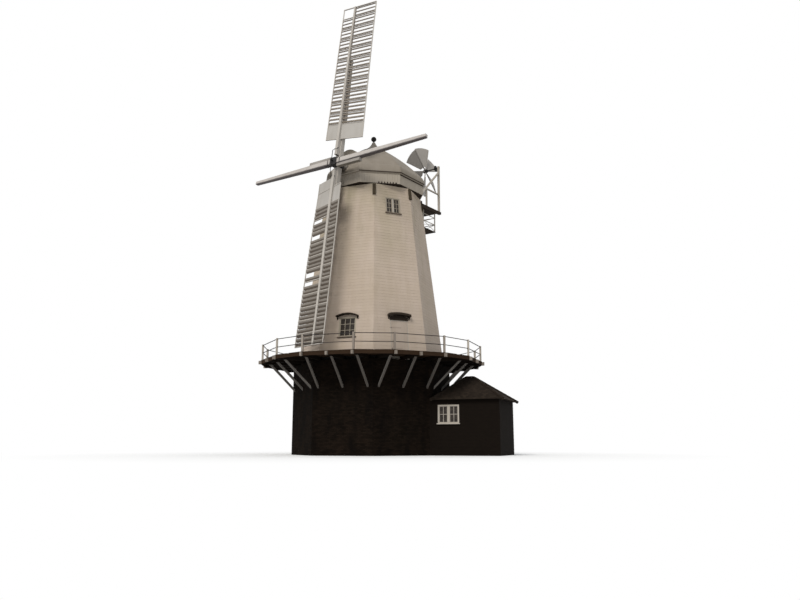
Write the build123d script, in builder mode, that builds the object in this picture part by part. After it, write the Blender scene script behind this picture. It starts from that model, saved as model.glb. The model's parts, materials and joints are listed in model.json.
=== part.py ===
from build123d import *
from math import asin, atan, cos, degrees, radians, sin, tan
import os

os.makedirs("parts", exist_ok=True)

# White smock windmill on a tarred brick base. Millimetres, +Z up, origin on the mill's axis at the ground.
# An azimuth is counted from -Y towards +X. The tower's faces look along azimuths 0, 45, 90 and so on.

# Brick base
SIDES = 8
BASE_R = 4750
BASE_WALL = 600
BASE_TOP = 5250
SLAB = 150
BASE_DOOR_W = 1300
BASE_DOOR_H = 2200

# Smock tower
SMOCK_SET_BACK = 345
SMOCK_TOP_R = 3057
SMOCK_TOP = 15800
SMOCK_WALL = 150
UPPER_FLOOR_DOWN = 2500
FLOOR_DEPTH = 180
FIT = 2

# Openings in the smock, set out from the stage and from the smock's top
STAGE_WINDOW_W = 1050
STAGE_WINDOW_H = 1180
STAGE_WINDOW_UP = 1640
UPPER_WINDOW_W = 960
UPPER_WINDOW_H = 1020
UPPER_WINDOW_DOWN = 1140
DOORWAY_W = 1100
DOORWAY_H = 2060
FRAME_BAR = 60
FRAME_PROUD = 20
FRAME_DEPTH = 120
SILL_OUT = 90
SILL_DEPTH = 50
PANE = 12
DOOR_GAP = 8
DOOR_THICK = 50
DOOR_FRAME = 40
DOOR_FRAME_DEPTH = 135
THRESHOLD_H = 230
KNUCKLE_R = 16
KNUCKLE_SIDES = 12
HINGE_PIN_R = 8
HINGE_BRACKET = 35
HINGE_Z = 420
STRAP_H = 60
STRAP_THICK = 8
STRAP_LENGTH = 640
HOOD_OUT = 260
HOOD_THICK = 50
HOOD_RISE = 140
HOOD_OVERHANG = 150
DOOR_HOOD_THICK = 130
DOOR_HOOD_RISE = 90
DOOR_HOOD_LIFT = 200
BRACKET_SIZE = 160

# Stage
DECK_BOARD = 50
JOIST_W = 120
JOIST_DEPTH = 200
JOIST_FROM_CORNER = 196
JOIST_TAIL = 150
DECK_REACH = 2430
DECK_PAST_JOIST = 130
DECK_GAP = 3
BRACE_W = 100
BRACE_DROP = 1470
BRACE_HEAD_IN = 550
FASCIA_THICK = 50
FASCIA_DEPTH = 170
POST_W = 100
POST_H = 930
POST_INSET = 20
RAIL_W = 35
RAIL_H = 35
UPPER_RAIL_Z = 880
LOWER_RAIL_Z = 430

# Annexe beside the face that looks along +X
ANNEXE_LENGTH = 3830
ANNEXE_WIDTH = 3890
ANNEXE_WALL = 150
ANNEXE_EAVES = 3050
ANNEXE_RIDGE = 4415
ANNEXE_OVERHANG = 250
ANNEXE_INNER_HIP = 1500
ANNEXE_OUTER_HIP = 2120
ANNEXE_RIDGE_W = 120
ROOF_THICK = 120
ANNEXE_WINDOW_W = 1220
ANNEXE_WINDOW_H = 1040
ANNEXE_WINDOW_OUT = 960
ANNEXE_WINDOW_Z = 2250
ANNEXE_DOOR_W = 950
ANNEXE_DOOR_H = 2050
ANNEXE_DOOR_OUT = 2512

# Curb and cap
CAP_HEADING = -16
CURB_PLATE = 90
CURB_TRACK = 110
CURB_SIDES = 16
TRACK_SIDES = 48
CURB_HOLE_IN = 310
CURB_TRACK_IN = 64
CURB_TRACK_W = 120
RUN_GAP = 0.3
PETTICOAT_OUT = 163
PETTICOAT_GAP = 130
PETTICOAT_H = 720
PETTICOAT_BOARD = 40
CAP_SILL = 240
DOME_EAVE_OUT = 85
DOME_BULGE_IN = 50
DOME_BULGE_RISE = 290
DOME_SHOULDER_IN = 250
DOME_SHOULDER_RISE = 540
DOME_SWELL = 95
DOME_NECK = 660
DOME_NECK_RISE = 2480
DOME_CROWN_RISE = 0.6
DOME_WAIST = 290
DOME_WAIST_RISE = 2740
DOME_TIP = 90
DOME_TIP_RISE = 3090
DOME_SKIN = 60
FINIAL_R = 170
FINIAL_LIFT = 240
FINIAL_STEM_R = 45
FINIAL_BANDS = 8
FINIAL_SIDES = 12

# Round-topped dormer over the windshaft
DORMER_HALF_W = 780
DORMER_EAVE_RISE = 1150
DORMER_CROWN_RISE = 1720
DORMER_FRONT_IN = 375
DORMER_SKIN = 50
SHAFT_HOLE_GAP = 30

# Windshaft and sails
HUB_OUT = 645
HUB_UP = 1430
SHAFT_TILT = 8.2
SAIL_TURN = 0.3
SHAFT_R = 240
SHAFT_TAIL = 4700
NECK_FROM_HUB = 1150
TAIL_BEARING_FROM_HUB = 4400
BEAM_W = 300
WEATHER_BEAM_H = 280
POLL_W = 480
POLL_LENGTH = 780
STOCK_W = 320
STOCK_END_W = 200
STOCK_BACK = 175
BARE_STOCK_HALF = 6630
SAIL_STOCK_HALF = 7400
CLAMP_LENGTH = 1750
CLAMP_W = 190
CLAMP_DEPTH = 240
SAIL_R = 11350
WHIP_W = 190
WHIP_DEPTH = 245
WHIP_TIP_W = 120
WHIP_FOOT = 520
HEEL_R = 1600
SHUTTER_R = 2650
BAYS = 11
SHUTTERS_PER_BAY = 3
WIDE_SIDE = 1550
NARROW_SIDE = 840
BAR_W = 50
BAR_DEPTH = 60
HEMLATH_W = 60
HEMLATH_DEPTH = 40
WEATHER_HEEL = 16
WEATHER_TIP = 8
WEATHER_STATIONS = 5
WEATHER_POWER = 1.5
SHUTTER_THICK = 18
SHUTTER_OVERLAP = 0.86
SHUTTER_OPEN = 35
SHUTTER_SEAT = 0.5
HEEL_BOARD = 24
UPPER_LOST_NARROW = (30, 31, 32)
LOWER_LOST_WIDE = (3, 7, 16, 18)

# Fantail
FAN_OUT = 3125
FAN_UP = 4000
FAN_R = 1800
FAN_BLADES = 6
FAN_TURN = 48
FAN_PITCH = 25
FAN_HUB_R = 110
FAN_BLADE_SEAT = 0.3
FAN_HUB_W = 300
FAN_ARM_W = 70
FAN_ARM_DEPTH = 60
FAN_ARM_SHORT = 40
FAN_BLADE_ROOT_R = 330
FAN_BLADE_ROOT_W = 300
FAN_BLADE_TIP_W = 1100
FAN_BLADE_THICK = 22
FAN_TIP_CUTS = 4
FAN_AXLE_R = 45
FAN_FRAME_HALF_W = 1100
FAN_POST_W = 130
FAN_POST_HEAD = 120
FAN_STRUT_DROP = 400
FAN_PLATFORM_PAST = 150
FAN_PLATFORM_BOARD = 50
SHEER_DEPTH = 260
SHEER_W = 180
SHEER_FRONT_IN = 225
SHEER_TAIL_DEPTH = 120
GALLERY_DROP = 1240
GALLERY_HALF_W = 1000
GALLERY_OUT = 1275
GALLERY_IN = 300
HANGER_W = 60
GALLERY_BOARD = 45

OCT = 180 / SIDES
OCT_COS = cos(radians(OCT))
OCT_SIN = sin(radians(OCT))
SMOCK_FOOT_R = BASE_R - SMOCK_SET_BACK
DECK_UNDER = BASE_TOP + JOIST_DEPTH
DECK_TOP = DECK_UNDER + DECK_BOARD
DECK_APOTHEM = SMOCK_FOOT_R * OCT_COS + DECK_REACH
JOIST_SPACING = SMOCK_FOOT_R * OCT_SIN - JOIST_FROM_CORNER
DECK_HALF_SIDE = JOIST_SPACING + DECK_PAST_JOIST
BRACE_FOOT_Z = BASE_TOP - BRACE_DROP
BRACE_HEAD_R = DECK_APOTHEM - BRACE_HEAD_IN
STAGE_WINDOW_Z = DECK_TOP + STAGE_WINDOW_UP
UPPER_WINDOW_Z = SMOCK_TOP - UPPER_WINDOW_DOWN
UPPER_FLOOR_TOP = SMOCK_TOP - UPPER_FLOOR_DOWN
SMOCK_RISE = SMOCK_TOP - BASE_TOP
BATTER = degrees(atan((SMOCK_FOOT_R - SMOCK_TOP_R) * OCT_COS / SMOCK_RISE))
BASE_APOTHEM = BASE_R * OCT_COS
ANNEXE_WINDOW_X = BASE_APOTHEM + ANNEXE_WINDOW_OUT
ANNEXE_DOOR_X = BASE_APOTHEM + ANNEXE_DOOR_OUT
CURB_TRACK_R = SMOCK_TOP_R * OCT_COS - CURB_TRACK_IN
CURB_HOLE_R = CURB_TRACK_R - CURB_HOLE_IN
CURB_TOP = SMOCK_TOP + CURB_PLATE + CURB_TRACK
CAP_SILL_BOTTOM = CURB_TOP + RUN_GAP
CAP_SILL_TOP = CAP_SILL_BOTTOM + CAP_SILL
PETTICOAT_BOTTOM = SMOCK_TOP + CURB_PLATE + PETTICOAT_GAP
PETTICOAT_TOP = PETTICOAT_BOTTOM + PETTICOAT_H
PETTICOAT_R = SMOCK_TOP_R + PETTICOAT_OUT
PETTICOAT_APOTHEM = PETTICOAT_R * OCT_COS
HUB_FRONT = PETTICOAT_APOTHEM + HUB_OUT
HUB_Z = SMOCK_TOP + HUB_UP
FAN_BACK = PETTICOAT_APOTHEM + FAN_OUT
FAN_Z = SMOCK_TOP + FAN_UP
FAN_PLATFORM_BACK = FAN_BACK + FAN_PLATFORM_PAST
WINDOW_FACES = (0, 4)
DOOR_FACES = (1, 5)
SIDE_FACES = (2, 6)
PLAIN_FACES = (3, 7)
BASE_DOOR_FACE = 4


def outward(azimuth):
    return Vector(sin(radians(azimuth)), -cos(radians(azimuth)), 0)


def rightward(azimuth):
    return Vector(cos(radians(azimuth)), sin(radians(azimuth)), 0)


def upright(azimuth, distance):
    """Vertical plane facing out at an azimuth: x to the right as seen from outside, y up from the ground."""
    return Plane(origin=outward(azimuth) * distance, x_dir=rightward(azimuth), z_dir=outward(azimuth))


def sector(azimuth, distance):
    """Vertical plane that holds the axis: x outwards from a distance, y up from the ground."""
    return Plane(origin=outward(azimuth) * distance, x_dir=outward(azimuth), z_dir=rightward(azimuth) * -1)


def face_azimuth(face):
    return 360 / SIDES * face


def smock_apothem(height):
    return SMOCK_FOOT_R * OCT_COS - (height - BASE_TOP) * tan(radians(BATTER))


def smock_plane(face, height):
    """Plane on a leaning face of the smock, with its origin on the face's middle line at a height."""
    azimuth = face_azimuth(face)
    origin = outward(azimuth) * smock_apothem(height) + Vector(0, 0, height)
    lean = radians(BATTER)
    normal = outward(azimuth) * cos(lean) + Vector(0, 0, sin(lean))
    return Plane(origin=origin, x_dir=rightward(azimuth), z_dir=normal)


def octagon(circumradius, mode=Mode.ADD):
    RegularPolygon(circumradius, SIDES, rotation=OCT, mode=mode)


def wedges(faces, bottom, top):
    """Keeps only the wedges of the open part that belong to the listed faces."""
    near = 1000
    far = 2 * BASE_R
    with BuildSketch(Plane.XY.offset(bottom)) as keep:
        for face in faces:
            left = outward(face_azimuth(face) - OCT)
            right = outward(face_azimuth(face) + OCT)
            corners = [left * near, left * far, right * far, right * near]
            Polygon(*[(corner.X, corner.Y) for corner in corners], align=None)
    extrude(keep.sketch, amount=top - bottom, mode=Mode.INTERSECT)


def finish(builder, label):
    builder.part.label = label
    export_step(builder.part, f"parts/{label}.step")


# Ground floor and brick base
with BuildPart() as ground_floor:
    with BuildSketch(Plane.XY):
        octagon(BASE_R - BASE_WALL / OCT_COS)
    extrude(amount=SLAB)
finish(ground_floor, "ground_floor")

with BuildPart() as base_shell:
    with BuildSketch(Plane.XY):
        octagon(BASE_R)
        octagon(BASE_R - BASE_WALL / OCT_COS, mode=Mode.SUBTRACT)
    extrude(amount=BASE_TOP)


def base_panels(faces):
    add(base_shell.part)
    wedges(faces, 0, BASE_TOP)


with BuildPart() as base_walls_square:
    base_panels([0, 2, 6])
finish(base_walls_square, "base_walls_square")

with BuildPart() as base_walls_diagonal:
    base_panels([1, 3, 5, 7])
finish(base_walls_diagonal, "base_walls_diagonal")

with BuildPart() as base_door_wall:
    base_panels([BASE_DOOR_FACE])
    with BuildSketch(upright(face_azimuth(BASE_DOOR_FACE), BASE_APOTHEM)):
        with Locations((0, BASE_DOOR_H / 2)):
            Rectangle(BASE_DOOR_W, BASE_DOOR_H)
    extrude(amount=-2 * BASE_WALL, mode=Mode.SUBTRACT)
finish(base_door_wall, "base_door_wall")

with BuildPart() as base_door:
    with BuildSketch(upright(face_azimuth(BASE_DOOR_FACE), BASE_APOTHEM - BASE_WALL / 2)):
        with Locations((0, BASE_DOOR_H / 2)):
            Rectangle(BASE_DOOR_W, BASE_DOOR_H)
    extrude(amount=DOOR_THICK)
finish(base_door, "base_door")

# Smock walls
with BuildPart() as smock_shell:
    with BuildSketch(Plane.XY.offset(BASE_TOP)):
        octagon(SMOCK_FOOT_R)
    extrude(amount=SMOCK_RISE, taper=BATTER)
    with BuildSketch(Plane.XY.offset(BASE_TOP)):
        octagon(SMOCK_FOOT_R - SMOCK_WALL / OCT_COS)
    extrude(amount=SMOCK_RISE, taper=BATTER, mode=Mode.SUBTRACT)


def smock_panels(faces):
    add(smock_shell.part)
    wedges(faces, BASE_TOP, SMOCK_TOP)


def cut_window(face, height, width, tall):
    with BuildSketch(smock_plane(face, height)) as hole:
        Rectangle(width, tall)
    extrude(hole.sketch, amount=2 * SMOCK_WALL, both=True, mode=Mode.SUBTRACT)


with BuildPart() as smock_walls_side:
    smock_panels(SIDE_FACES)
finish(smock_walls_side, "smock_walls_side")

with BuildPart() as smock_walls_plain:
    smock_panels(PLAIN_FACES)
finish(smock_walls_plain, "smock_walls_plain")

with BuildPart() as smock_walls_window:
    smock_panels(WINDOW_FACES)
    for face in WINDOW_FACES:
        cut_window(face, STAGE_WINDOW_Z, STAGE_WINDOW_W, STAGE_WINDOW_H)
finish(smock_walls_window, "smock_walls_window")

DOOR_HEAD_Z = DECK_TOP + DOORWAY_H * cos(radians(BATTER))

with BuildPart() as door_wall_jambs:
    smock_panels(DOOR_FACES)
    split(bisect_by=Plane.XY.offset(DOOR_HEAD_Z), keep=Keep.BOTTOM)
    for face in DOOR_FACES:
        with BuildSketch(smock_plane(face, DECK_TOP)):
            Rectangle(DOORWAY_W, 3 * DOORWAY_H)
        extrude(amount=2 * SMOCK_WALL, both=True, mode=Mode.SUBTRACT)
finish(door_wall_jambs, "door_wall_jambs")

with BuildPart() as door_wall_heads:
    smock_panels(DOOR_FACES)
    split(bisect_by=Plane.XY.offset(DOOR_HEAD_Z), keep=Keep.TOP)
    for face in DOOR_FACES:
        cut_window(face, UPPER_WINDOW_Z, UPPER_WINDOW_W, UPPER_WINDOW_H)
finish(door_wall_heads, "door_wall_heads")


# Floors
def inner_smock_r(height):
    return smock_apothem(height) / OCT_COS - SMOCK_WALL / OCT_COS


with BuildPart() as stage_floor:
    with BuildSketch(Plane.XY.offset(BASE_TOP)):
        octagon(inner_smock_r(DECK_TOP) - FIT)
    extrude(amount=DECK_TOP - BASE_TOP)
finish(stage_floor, "stage_floor")

with BuildPart() as upper_floor:
    with BuildSketch(Plane.XY.offset(UPPER_FLOOR_TOP - FLOOR_DEPTH)):
        octagon(inner_smock_r(UPPER_FLOOR_TOP - FLOOR_DEPTH))
    extrude(amount=FLOOR_DEPTH, taper=BATTER)
finish(upper_floor, "upper_floor")


# Windows, glass, hoods
def window_frame(plane, width, tall):
    with BuildSketch(plane.offset(FRAME_PROUD)) as ring:
        Rectangle(width, tall)
        Rectangle(width - 2 * FRAME_BAR, tall - 2 * FRAME_BAR, mode=Mode.SUBTRACT)
    extrude(ring.sketch, amount=-FRAME_DEPTH)
    with BuildSketch(plane) as sill:
        with Locations((0, -tall / 2)):
            Rectangle(width + 2 * SILL_DEPTH, SILL_DEPTH)
    extrude(sill.sketch, amount=SILL_OUT)


def window_pane(plane, width, tall):
    with BuildSketch(plane.offset(-FRAME_DEPTH / 3)) as pane:
        Rectangle(width - 2 * FRAME_BAR, tall - 2 * FRAME_BAR)
    extrude(pane.sketch, amount=-PANE)


ANNEXE_OUT = BASE_APOTHEM + ANNEXE_LENGTH
ANNEXE_WINDOW_PLANE = Plane(
    origin=(ANNEXE_WINDOW_X, -ANNEXE_WIDTH / 2, ANNEXE_WINDOW_Z), x_dir=(1, 0, 0), z_dir=(0, -1, 0)
)

with BuildPart() as stage_windows:
    for face in WINDOW_FACES:
        window_frame(smock_plane(face, STAGE_WINDOW_Z), STAGE_WINDOW_W, STAGE_WINDOW_H)
finish(stage_windows, "stage_windows")

with BuildPart() as upper_windows:
    for face in DOOR_FACES:
        window_frame(smock_plane(face, UPPER_WINDOW_Z), UPPER_WINDOW_W, UPPER_WINDOW_H)
finish(upper_windows, "upper_windows")

with BuildPart() as annexe_window:
    window_frame(ANNEXE_WINDOW_PLANE, ANNEXE_WINDOW_W, ANNEXE_WINDOW_H)
finish(annexe_window, "annexe_window")

with BuildPart() as window_glass:
    for face in WINDOW_FACES:
        window_pane(smock_plane(face, STAGE_WINDOW_Z), STAGE_WINDOW_W, STAGE_WINDOW_H)
    for face in DOOR_FACES:
        window_pane(smock_plane(face, UPPER_WINDOW_Z), UPPER_WINDOW_W, UPPER_WINDOW_H)
    window_pane(ANNEXE_WINDOW_PLANE, ANNEXE_WINDOW_W, ANNEXE_WINDOW_H)
finish(window_glass, "window_glass")


def hood(plane, width, lift, rise, thick):
    """Bent board over an opening on two small brackets."""
    half = width / 2 + HOOD_OVERHANG
    with BuildSketch(plane) as board:
        with BuildLine():
            top = ThreePointArc((-half, lift + thick), (0, lift + rise + thick), (half, lift + thick))
            bottom = ThreePointArc((-half, lift), (0, lift + rise), (half, lift))
            Line(top @ 0, bottom @ 0)
            Line(top @ 1, bottom @ 1)
        make_face()
    extrude(board.sketch, amount=HOOD_OUT)
    for end in (-1, 1):
        seat = plane.from_local_coords(Vector(end * (half - HOOD_THICK), lift, 0))
        foot = Plane(origin=seat, x_dir=plane.z_dir, z_dir=plane.x_dir * -1)
        with BuildSketch(foot) as bracket:
            Polygon((0, HOOD_THICK / 2), (BRACKET_SIZE, HOOD_THICK / 2), (0, -BRACKET_SIZE), align=None)
        extrude(bracket.sketch, amount=HOOD_THICK / 2, both=True)


with BuildPart() as window_hoods:
    for face in WINDOW_FACES:
        hood(smock_plane(face, STAGE_WINDOW_Z), STAGE_WINDOW_W, STAGE_WINDOW_H / 2, HOOD_RISE, HOOD_THICK)
    for face in DOOR_FACES:
        lift = DOORWAY_H + DOOR_HOOD_LIFT
        hood(smock_plane(face, DECK_TOP), DOORWAY_W, lift, DOOR_HOOD_RISE, DOOR_HOOD_THICK)
finish(window_hoods, "window_hoods")


# Stage doors: frames, the leaf that opens and the fixed rear leaf
def doorway_plane(face):
    return smock_plane(face, DECK_TOP)


with BuildPart() as stage_door_frames:
    for face in DOOR_FACES:
        plane = doorway_plane(face)
        with BuildSketch(plane):
            with Locations((0, DOORWAY_H / 2)):
                Rectangle(DOORWAY_W, DOORWAY_H)
            with Locations((0, DOORWAY_H / 2)):
                Rectangle(DOORWAY_W - 2 * DOOR_FRAME, DOORWAY_H - 2 * DOOR_FRAME, mode=Mode.SUBTRACT)
            with Locations((0, -FIT - THRESHOLD_H / 2)):
                Rectangle(DOORWAY_W, THRESHOLD_H)
        extrude(amount=-DOOR_FRAME_DEPTH)
finish(stage_door_frames, "stage_door_frames")

LEAF_W = DOORWAY_W - 2 * DOOR_FRAME - 2 * DOOR_GAP
LEAF_H = DOORWAY_H - 2 * DOOR_FRAME - 2 * DOOR_GAP


def door_leaf(face):
    with BuildSketch(doorway_plane(face)) as leaf:
        with Locations((0, DOORWAY_H / 2)):
            Rectangle(LEAF_W, LEAF_H)
    extrude(leaf.sketch, amount=-DOOR_THICK)


with BuildPart() as stage_door:
    door_leaf(DOOR_FACES[0])
finish(stage_door, "stage_door")

# Strap hinges on the outside of the leaf, their pins standing on brackets on the frame
HINGE_PLANE = doorway_plane(DOOR_FACES[0])
HINGE_X = -LEAF_W / 2 - DOOR_GAP / 2
HINGE_OUT = KNUCKLE_R + 1
HINGE_HEIGHTS = (HINGE_Z, DOORWAY_H - HINGE_Z)

with BuildPart() as door_straps:
    for height in HINGE_HEIGHTS:
        level = Plane(
            origin=HINGE_PLANE.from_local_coords(Vector(HINGE_X, height, 0)),
            x_dir=HINGE_PLANE.x_dir, z_dir=HINGE_PLANE.y_dir,
        )
        with BuildSketch(level.offset(-STRAP_H / 2)):
            with Locations((0, -HINGE_OUT)):
                RegularPolygon(KNUCKLE_R, KNUCKLE_SIDES)
            with Locations((STRAP_LENGTH / 2, -STRAP_THICK / 2)):
                Rectangle(STRAP_LENGTH - 2 * DOOR_GAP, STRAP_THICK)
            with Locations((0, -HINGE_OUT)):
                Circle(HINGE_PIN_R + RUN_GAP, mode=Mode.SUBTRACT)
        extrude(amount=STRAP_H)
finish(door_straps, "door_straps")

with BuildPart() as door_pins:
    for height in HINGE_HEIGHTS:
        level = Plane(
            origin=HINGE_PLANE.from_local_coords(Vector(HINGE_X, height, 0)),
            x_dir=HINGE_PLANE.x_dir, z_dir=HINGE_PLANE.y_dir,
        )
        with BuildSketch(level.offset(-STRAP_H / 2 - RUN_GAP)):
            with Locations((0, -HINGE_OUT)):
                RegularPolygon(KNUCKLE_R, KNUCKLE_SIDES)
            with Locations((-HINGE_BRACKET / 2, -HINGE_OUT / 2)):
                Rectangle(HINGE_BRACKET, HINGE_OUT)
        extrude(amount=-STRAP_THICK)
        with BuildSketch(level.offset(-STRAP_H / 2 - RUN_GAP)):
            with Locations((0, -HINGE_OUT)):
                Circle(HINGE_PIN_R)
        extrude(amount=STRAP_H + 2 * RUN_GAP)
finish(door_pins, "door_pins")

with BuildPart() as rear_stage_door:
    with BuildSketch(doorway_plane(DOOR_FACES[1])):
        with Locations((0, DOORWAY_H / 2)):
            Rectangle(DOORWAY_W - 2 * DOOR_FRAME, DOORWAY_H - 2 * DOOR_FRAME)
    extrude(amount=-DOOR_THICK)
finish(rear_stage_door, "rear_stage_door")

# Stage
JOIST_OUT = DECK_APOTHEM + JOIST_TAIL
JOIST_IN = smock_apothem(BASE_TOP) + FIT
JOIST_LANES = (-JOIST_SPACING, 0, JOIST_SPACING)

with BuildPart() as stage_joists:
    for face in range(SIDES):
        azimuth = face_azimuth(face)
        with BuildSketch(upright(azimuth, JOIST_IN)):
            for lane in JOIST_LANES:
                with Locations((lane, BASE_TOP + JOIST_DEPTH / 2)):
                    Rectangle(JOIST_W, JOIST_DEPTH)
        extrude(amount=JOIST_OUT - JOIST_IN)
finish(stage_joists, "stage_joists")

with BuildPart() as stage_braces:
    for face in range(SIDES):
        azimuth = face_azimuth(face)
        for lane in JOIST_LANES:
            plane = sector(azimuth, 0)
            plane.origin = plane.origin + rightward(azimuth) * lane
            with BuildSketch(plane):
                Polygon(
                    (BASE_APOTHEM, BRACE_FOOT_Z - BRACE_W),
                    (BRACE_HEAD_R + BRACE_W / 2, BASE_TOP),
                    (BRACE_HEAD_R - BRACE_W, BASE_TOP),
                    (BASE_APOTHEM, BRACE_FOOT_Z + BRACE_W / 2),
                    align=None,
                )
            extrude(amount=BRACE_W / 2, both=True)
finish(stage_braces, "stage_braces")


def deck_corners(face, apothem, half_side):
    azimuth = face_azimuth(face)
    left = outward(azimuth) * apothem - rightward(azimuth) * half_side
    right = outward(azimuth) * apothem + rightward(azimuth) * half_side
    return left, right


with BuildPart() as stage_deck:
    with BuildSketch(Plane.XY.offset(DECK_UNDER)):
        rim = []
        for face in range(SIDES):
            rim += deck_corners(face, DECK_APOTHEM, DECK_HALF_SIDE)
        Polygon(*[(corner.X, corner.Y) for corner in rim], align=None)
        octagon((smock_apothem(DECK_UNDER) + FIT) / OCT_COS, mode=Mode.SUBTRACT)
        for face in range(SIDES // 2):
            with Locations(Rotation(0, 0, face_azimuth(face) + OCT)):
                Rectangle(3 * DECK_APOTHEM, DECK_GAP, mode=Mode.SUBTRACT)
    extrude(amount=DECK_BOARD)
finish(stage_deck, "stage_deck")

POST_APOTHEM = DECK_APOTHEM - POST_INSET - POST_W / 2

with BuildPart() as rail_posts:
    for face in range(SIDES):
        with BuildSketch(upright(face_azimuth(face), POST_APOTHEM)):
            for lane in (-JOIST_SPACING, JOIST_SPACING):
                with Locations((lane, DECK_TOP + POST_H / 2)):
                    Rectangle(POST_W, POST_H)
        extrude(amount=POST_W / 2, both=True)
finish(rail_posts, "rail_posts")

with BuildPart() as stage_rails:
    for face in range(SIDES):
        azimuth = face_azimuth(face)
        post = outward(azimuth) * POST_APOTHEM + rightward(azimuth) * JOIST_SPACING
        corner = azimuth + OCT
        corner_run = (corner, post.dot(outward(corner)), -post.dot(rightward(corner)))
        runs = ((azimuth, POST_APOTHEM, JOIST_SPACING), corner_run)
        for heading, reach, half in runs:
            with BuildSketch(upright(heading, reach)):
                for height in (LOWER_RAIL_Z, UPPER_RAIL_Z):
                    with Locations((0, DECK_TOP + height)):
                        Rectangle(2 * half, RAIL_H)
            extrude(amount=RAIL_W / 2, both=True)
    add(rail_posts.part, mode=Mode.SUBTRACT)
finish(stage_rails, "stage_rails")


def deck_rim(apothem_in):
    """Sixteen-sided outline of the deck, drawn in by a distance."""
    half_side = DECK_HALF_SIDE - apothem_in * tan(radians(OCT / 2))
    rim = []
    for face in range(SIDES):
        rim += deck_corners(face, DECK_APOTHEM - apothem_in, half_side)
    mode = Mode.SUBTRACT if apothem_in else Mode.ADD
    Polygon(*[(corner.X, corner.Y) for corner in rim], align=None, mode=mode)


with BuildPart() as stage_fascia:
    with BuildSketch(Plane.XY.offset(DECK_UNDER - FASCIA_DEPTH)):
        deck_rim(0)
        deck_rim(FASCIA_THICK)
    extrude(amount=FASCIA_DEPTH)
    add(stage_joists.part, mode=Mode.SUBTRACT)
finish(stage_fascia, "stage_fascia")

# Annexe
with BuildPart() as annexe_floor:
    with BuildSketch(Plane.XY):
        with Locations(((BASE_APOTHEM + ANNEXE_OUT - ANNEXE_WALL) / 2, 0)):
            Rectangle(ANNEXE_LENGTH - ANNEXE_WALL, ANNEXE_WIDTH - 2 * ANNEXE_WALL)
    extrude(amount=SLAB)
finish(annexe_floor, "annexe_floor")


def annexe_long_wall(side):
    """One long wall, scribed to the base where it passes the base's corner."""
    with BuildSketch(Plane.XY) as footing:
        with Locations(((BASE_APOTHEM - BASE_WALL + ANNEXE_OUT) / 2, side * (ANNEXE_WIDTH - ANNEXE_WALL) / 2)):
            Rectangle(ANNEXE_LENGTH + BASE_WALL, ANNEXE_WALL)
        octagon(BASE_R, mode=Mode.SUBTRACT)
    extrude(footing.sketch, amount=ANNEXE_EAVES)


with BuildPart() as annexe_front_wall:
    annexe_long_wall(-1)
    with BuildSketch(ANNEXE_WINDOW_PLANE):
        Rectangle(ANNEXE_WINDOW_W, ANNEXE_WINDOW_H)
    extrude(amount=-2 * ANNEXE_WALL, mode=Mode.SUBTRACT)
finish(annexe_front_wall, "annexe_front_wall")

with BuildPart() as annexe_back_wall:
    annexe_long_wall(1)
    with BuildSketch(Plane(origin=(ANNEXE_DOOR_X, ANNEXE_WIDTH / 2, 0), x_dir=(-1, 0, 0), z_dir=(0, 1, 0))):
        with Locations((0, ANNEXE_DOOR_H / 2)):
            Rectangle(ANNEXE_DOOR_W, ANNEXE_DOOR_H)
    extrude(amount=-2 * ANNEXE_WALL, mode=Mode.SUBTRACT)
finish(annexe_back_wall, "annexe_back_wall")

with BuildPart() as annexe_door:
    with BuildSketch(Plane(origin=(ANNEXE_DOOR_X, ANNEXE_WIDTH / 2, 0), x_dir=(-1, 0, 0), z_dir=(0, 1, 0))):
        with Locations((0, ANNEXE_DOOR_H / 2)):
            Rectangle(ANNEXE_DOOR_W, ANNEXE_DOOR_H)
    extrude(amount=-DOOR_THICK)
finish(annexe_door, "annexe_door")

with BuildPart() as annexe_end_wall:
    with BuildSketch(Plane.XY):
        with Locations((ANNEXE_OUT - ANNEXE_WALL / 2, 0)):
            Rectangle(ANNEXE_WALL, ANNEXE_WIDTH - 2 * ANNEXE_WALL)
    extrude(amount=ANNEXE_EAVES)
finish(annexe_end_wall, "annexe_end_wall")


def hipped_block(inset, drop):
    """Closed hipped form: a trapezoid run along the annexe, cut by another run across it."""
    peak = ANNEXE_RIDGE_W / 2
    inner_x = BASE_APOTHEM + inset
    outer_x = ANNEXE_OUT + ANNEXE_OVERHANG - inset
    half = ANNEXE_WIDTH / 2 + ANNEXE_OVERHANG - inset
    ridge_in = BASE_APOTHEM + ANNEXE_INNER_HIP
    ridge_out = ANNEXE_OUT + ANNEXE_OVERHANG - ANNEXE_OUTER_HIP
    ridge_z = ANNEXE_RIDGE - drop
    with BuildPart() as block:
        with BuildSketch(Plane.YZ.offset(inner_x)):
            Polygon((-half, ANNEXE_EAVES), (half, ANNEXE_EAVES), (peak, ridge_z), (-peak, ridge_z), align=None)
        extrude(amount=outer_x - inner_x)
        with BuildSketch(Plane.XZ):
            Polygon(
                (inner_x, ANNEXE_EAVES), (outer_x, ANNEXE_EAVES), (ridge_out, ridge_z), (ridge_in, ridge_z),
                align=None,
            )
        extrude(amount=half, both=True, mode=Mode.INTERSECT)
    return block.part


ROOF_OUTSIDE = hipped_block(0, 0)
ROOF_INSIDE = hipped_block(2 * ROOF_THICK, ROOF_THICK)

with BuildPart() as annexe_roof:
    add(ROOF_OUTSIDE)
    add(ROOF_INSIDE, mode=Mode.SUBTRACT)
finish(annexe_roof, "annexe_roof")

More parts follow.
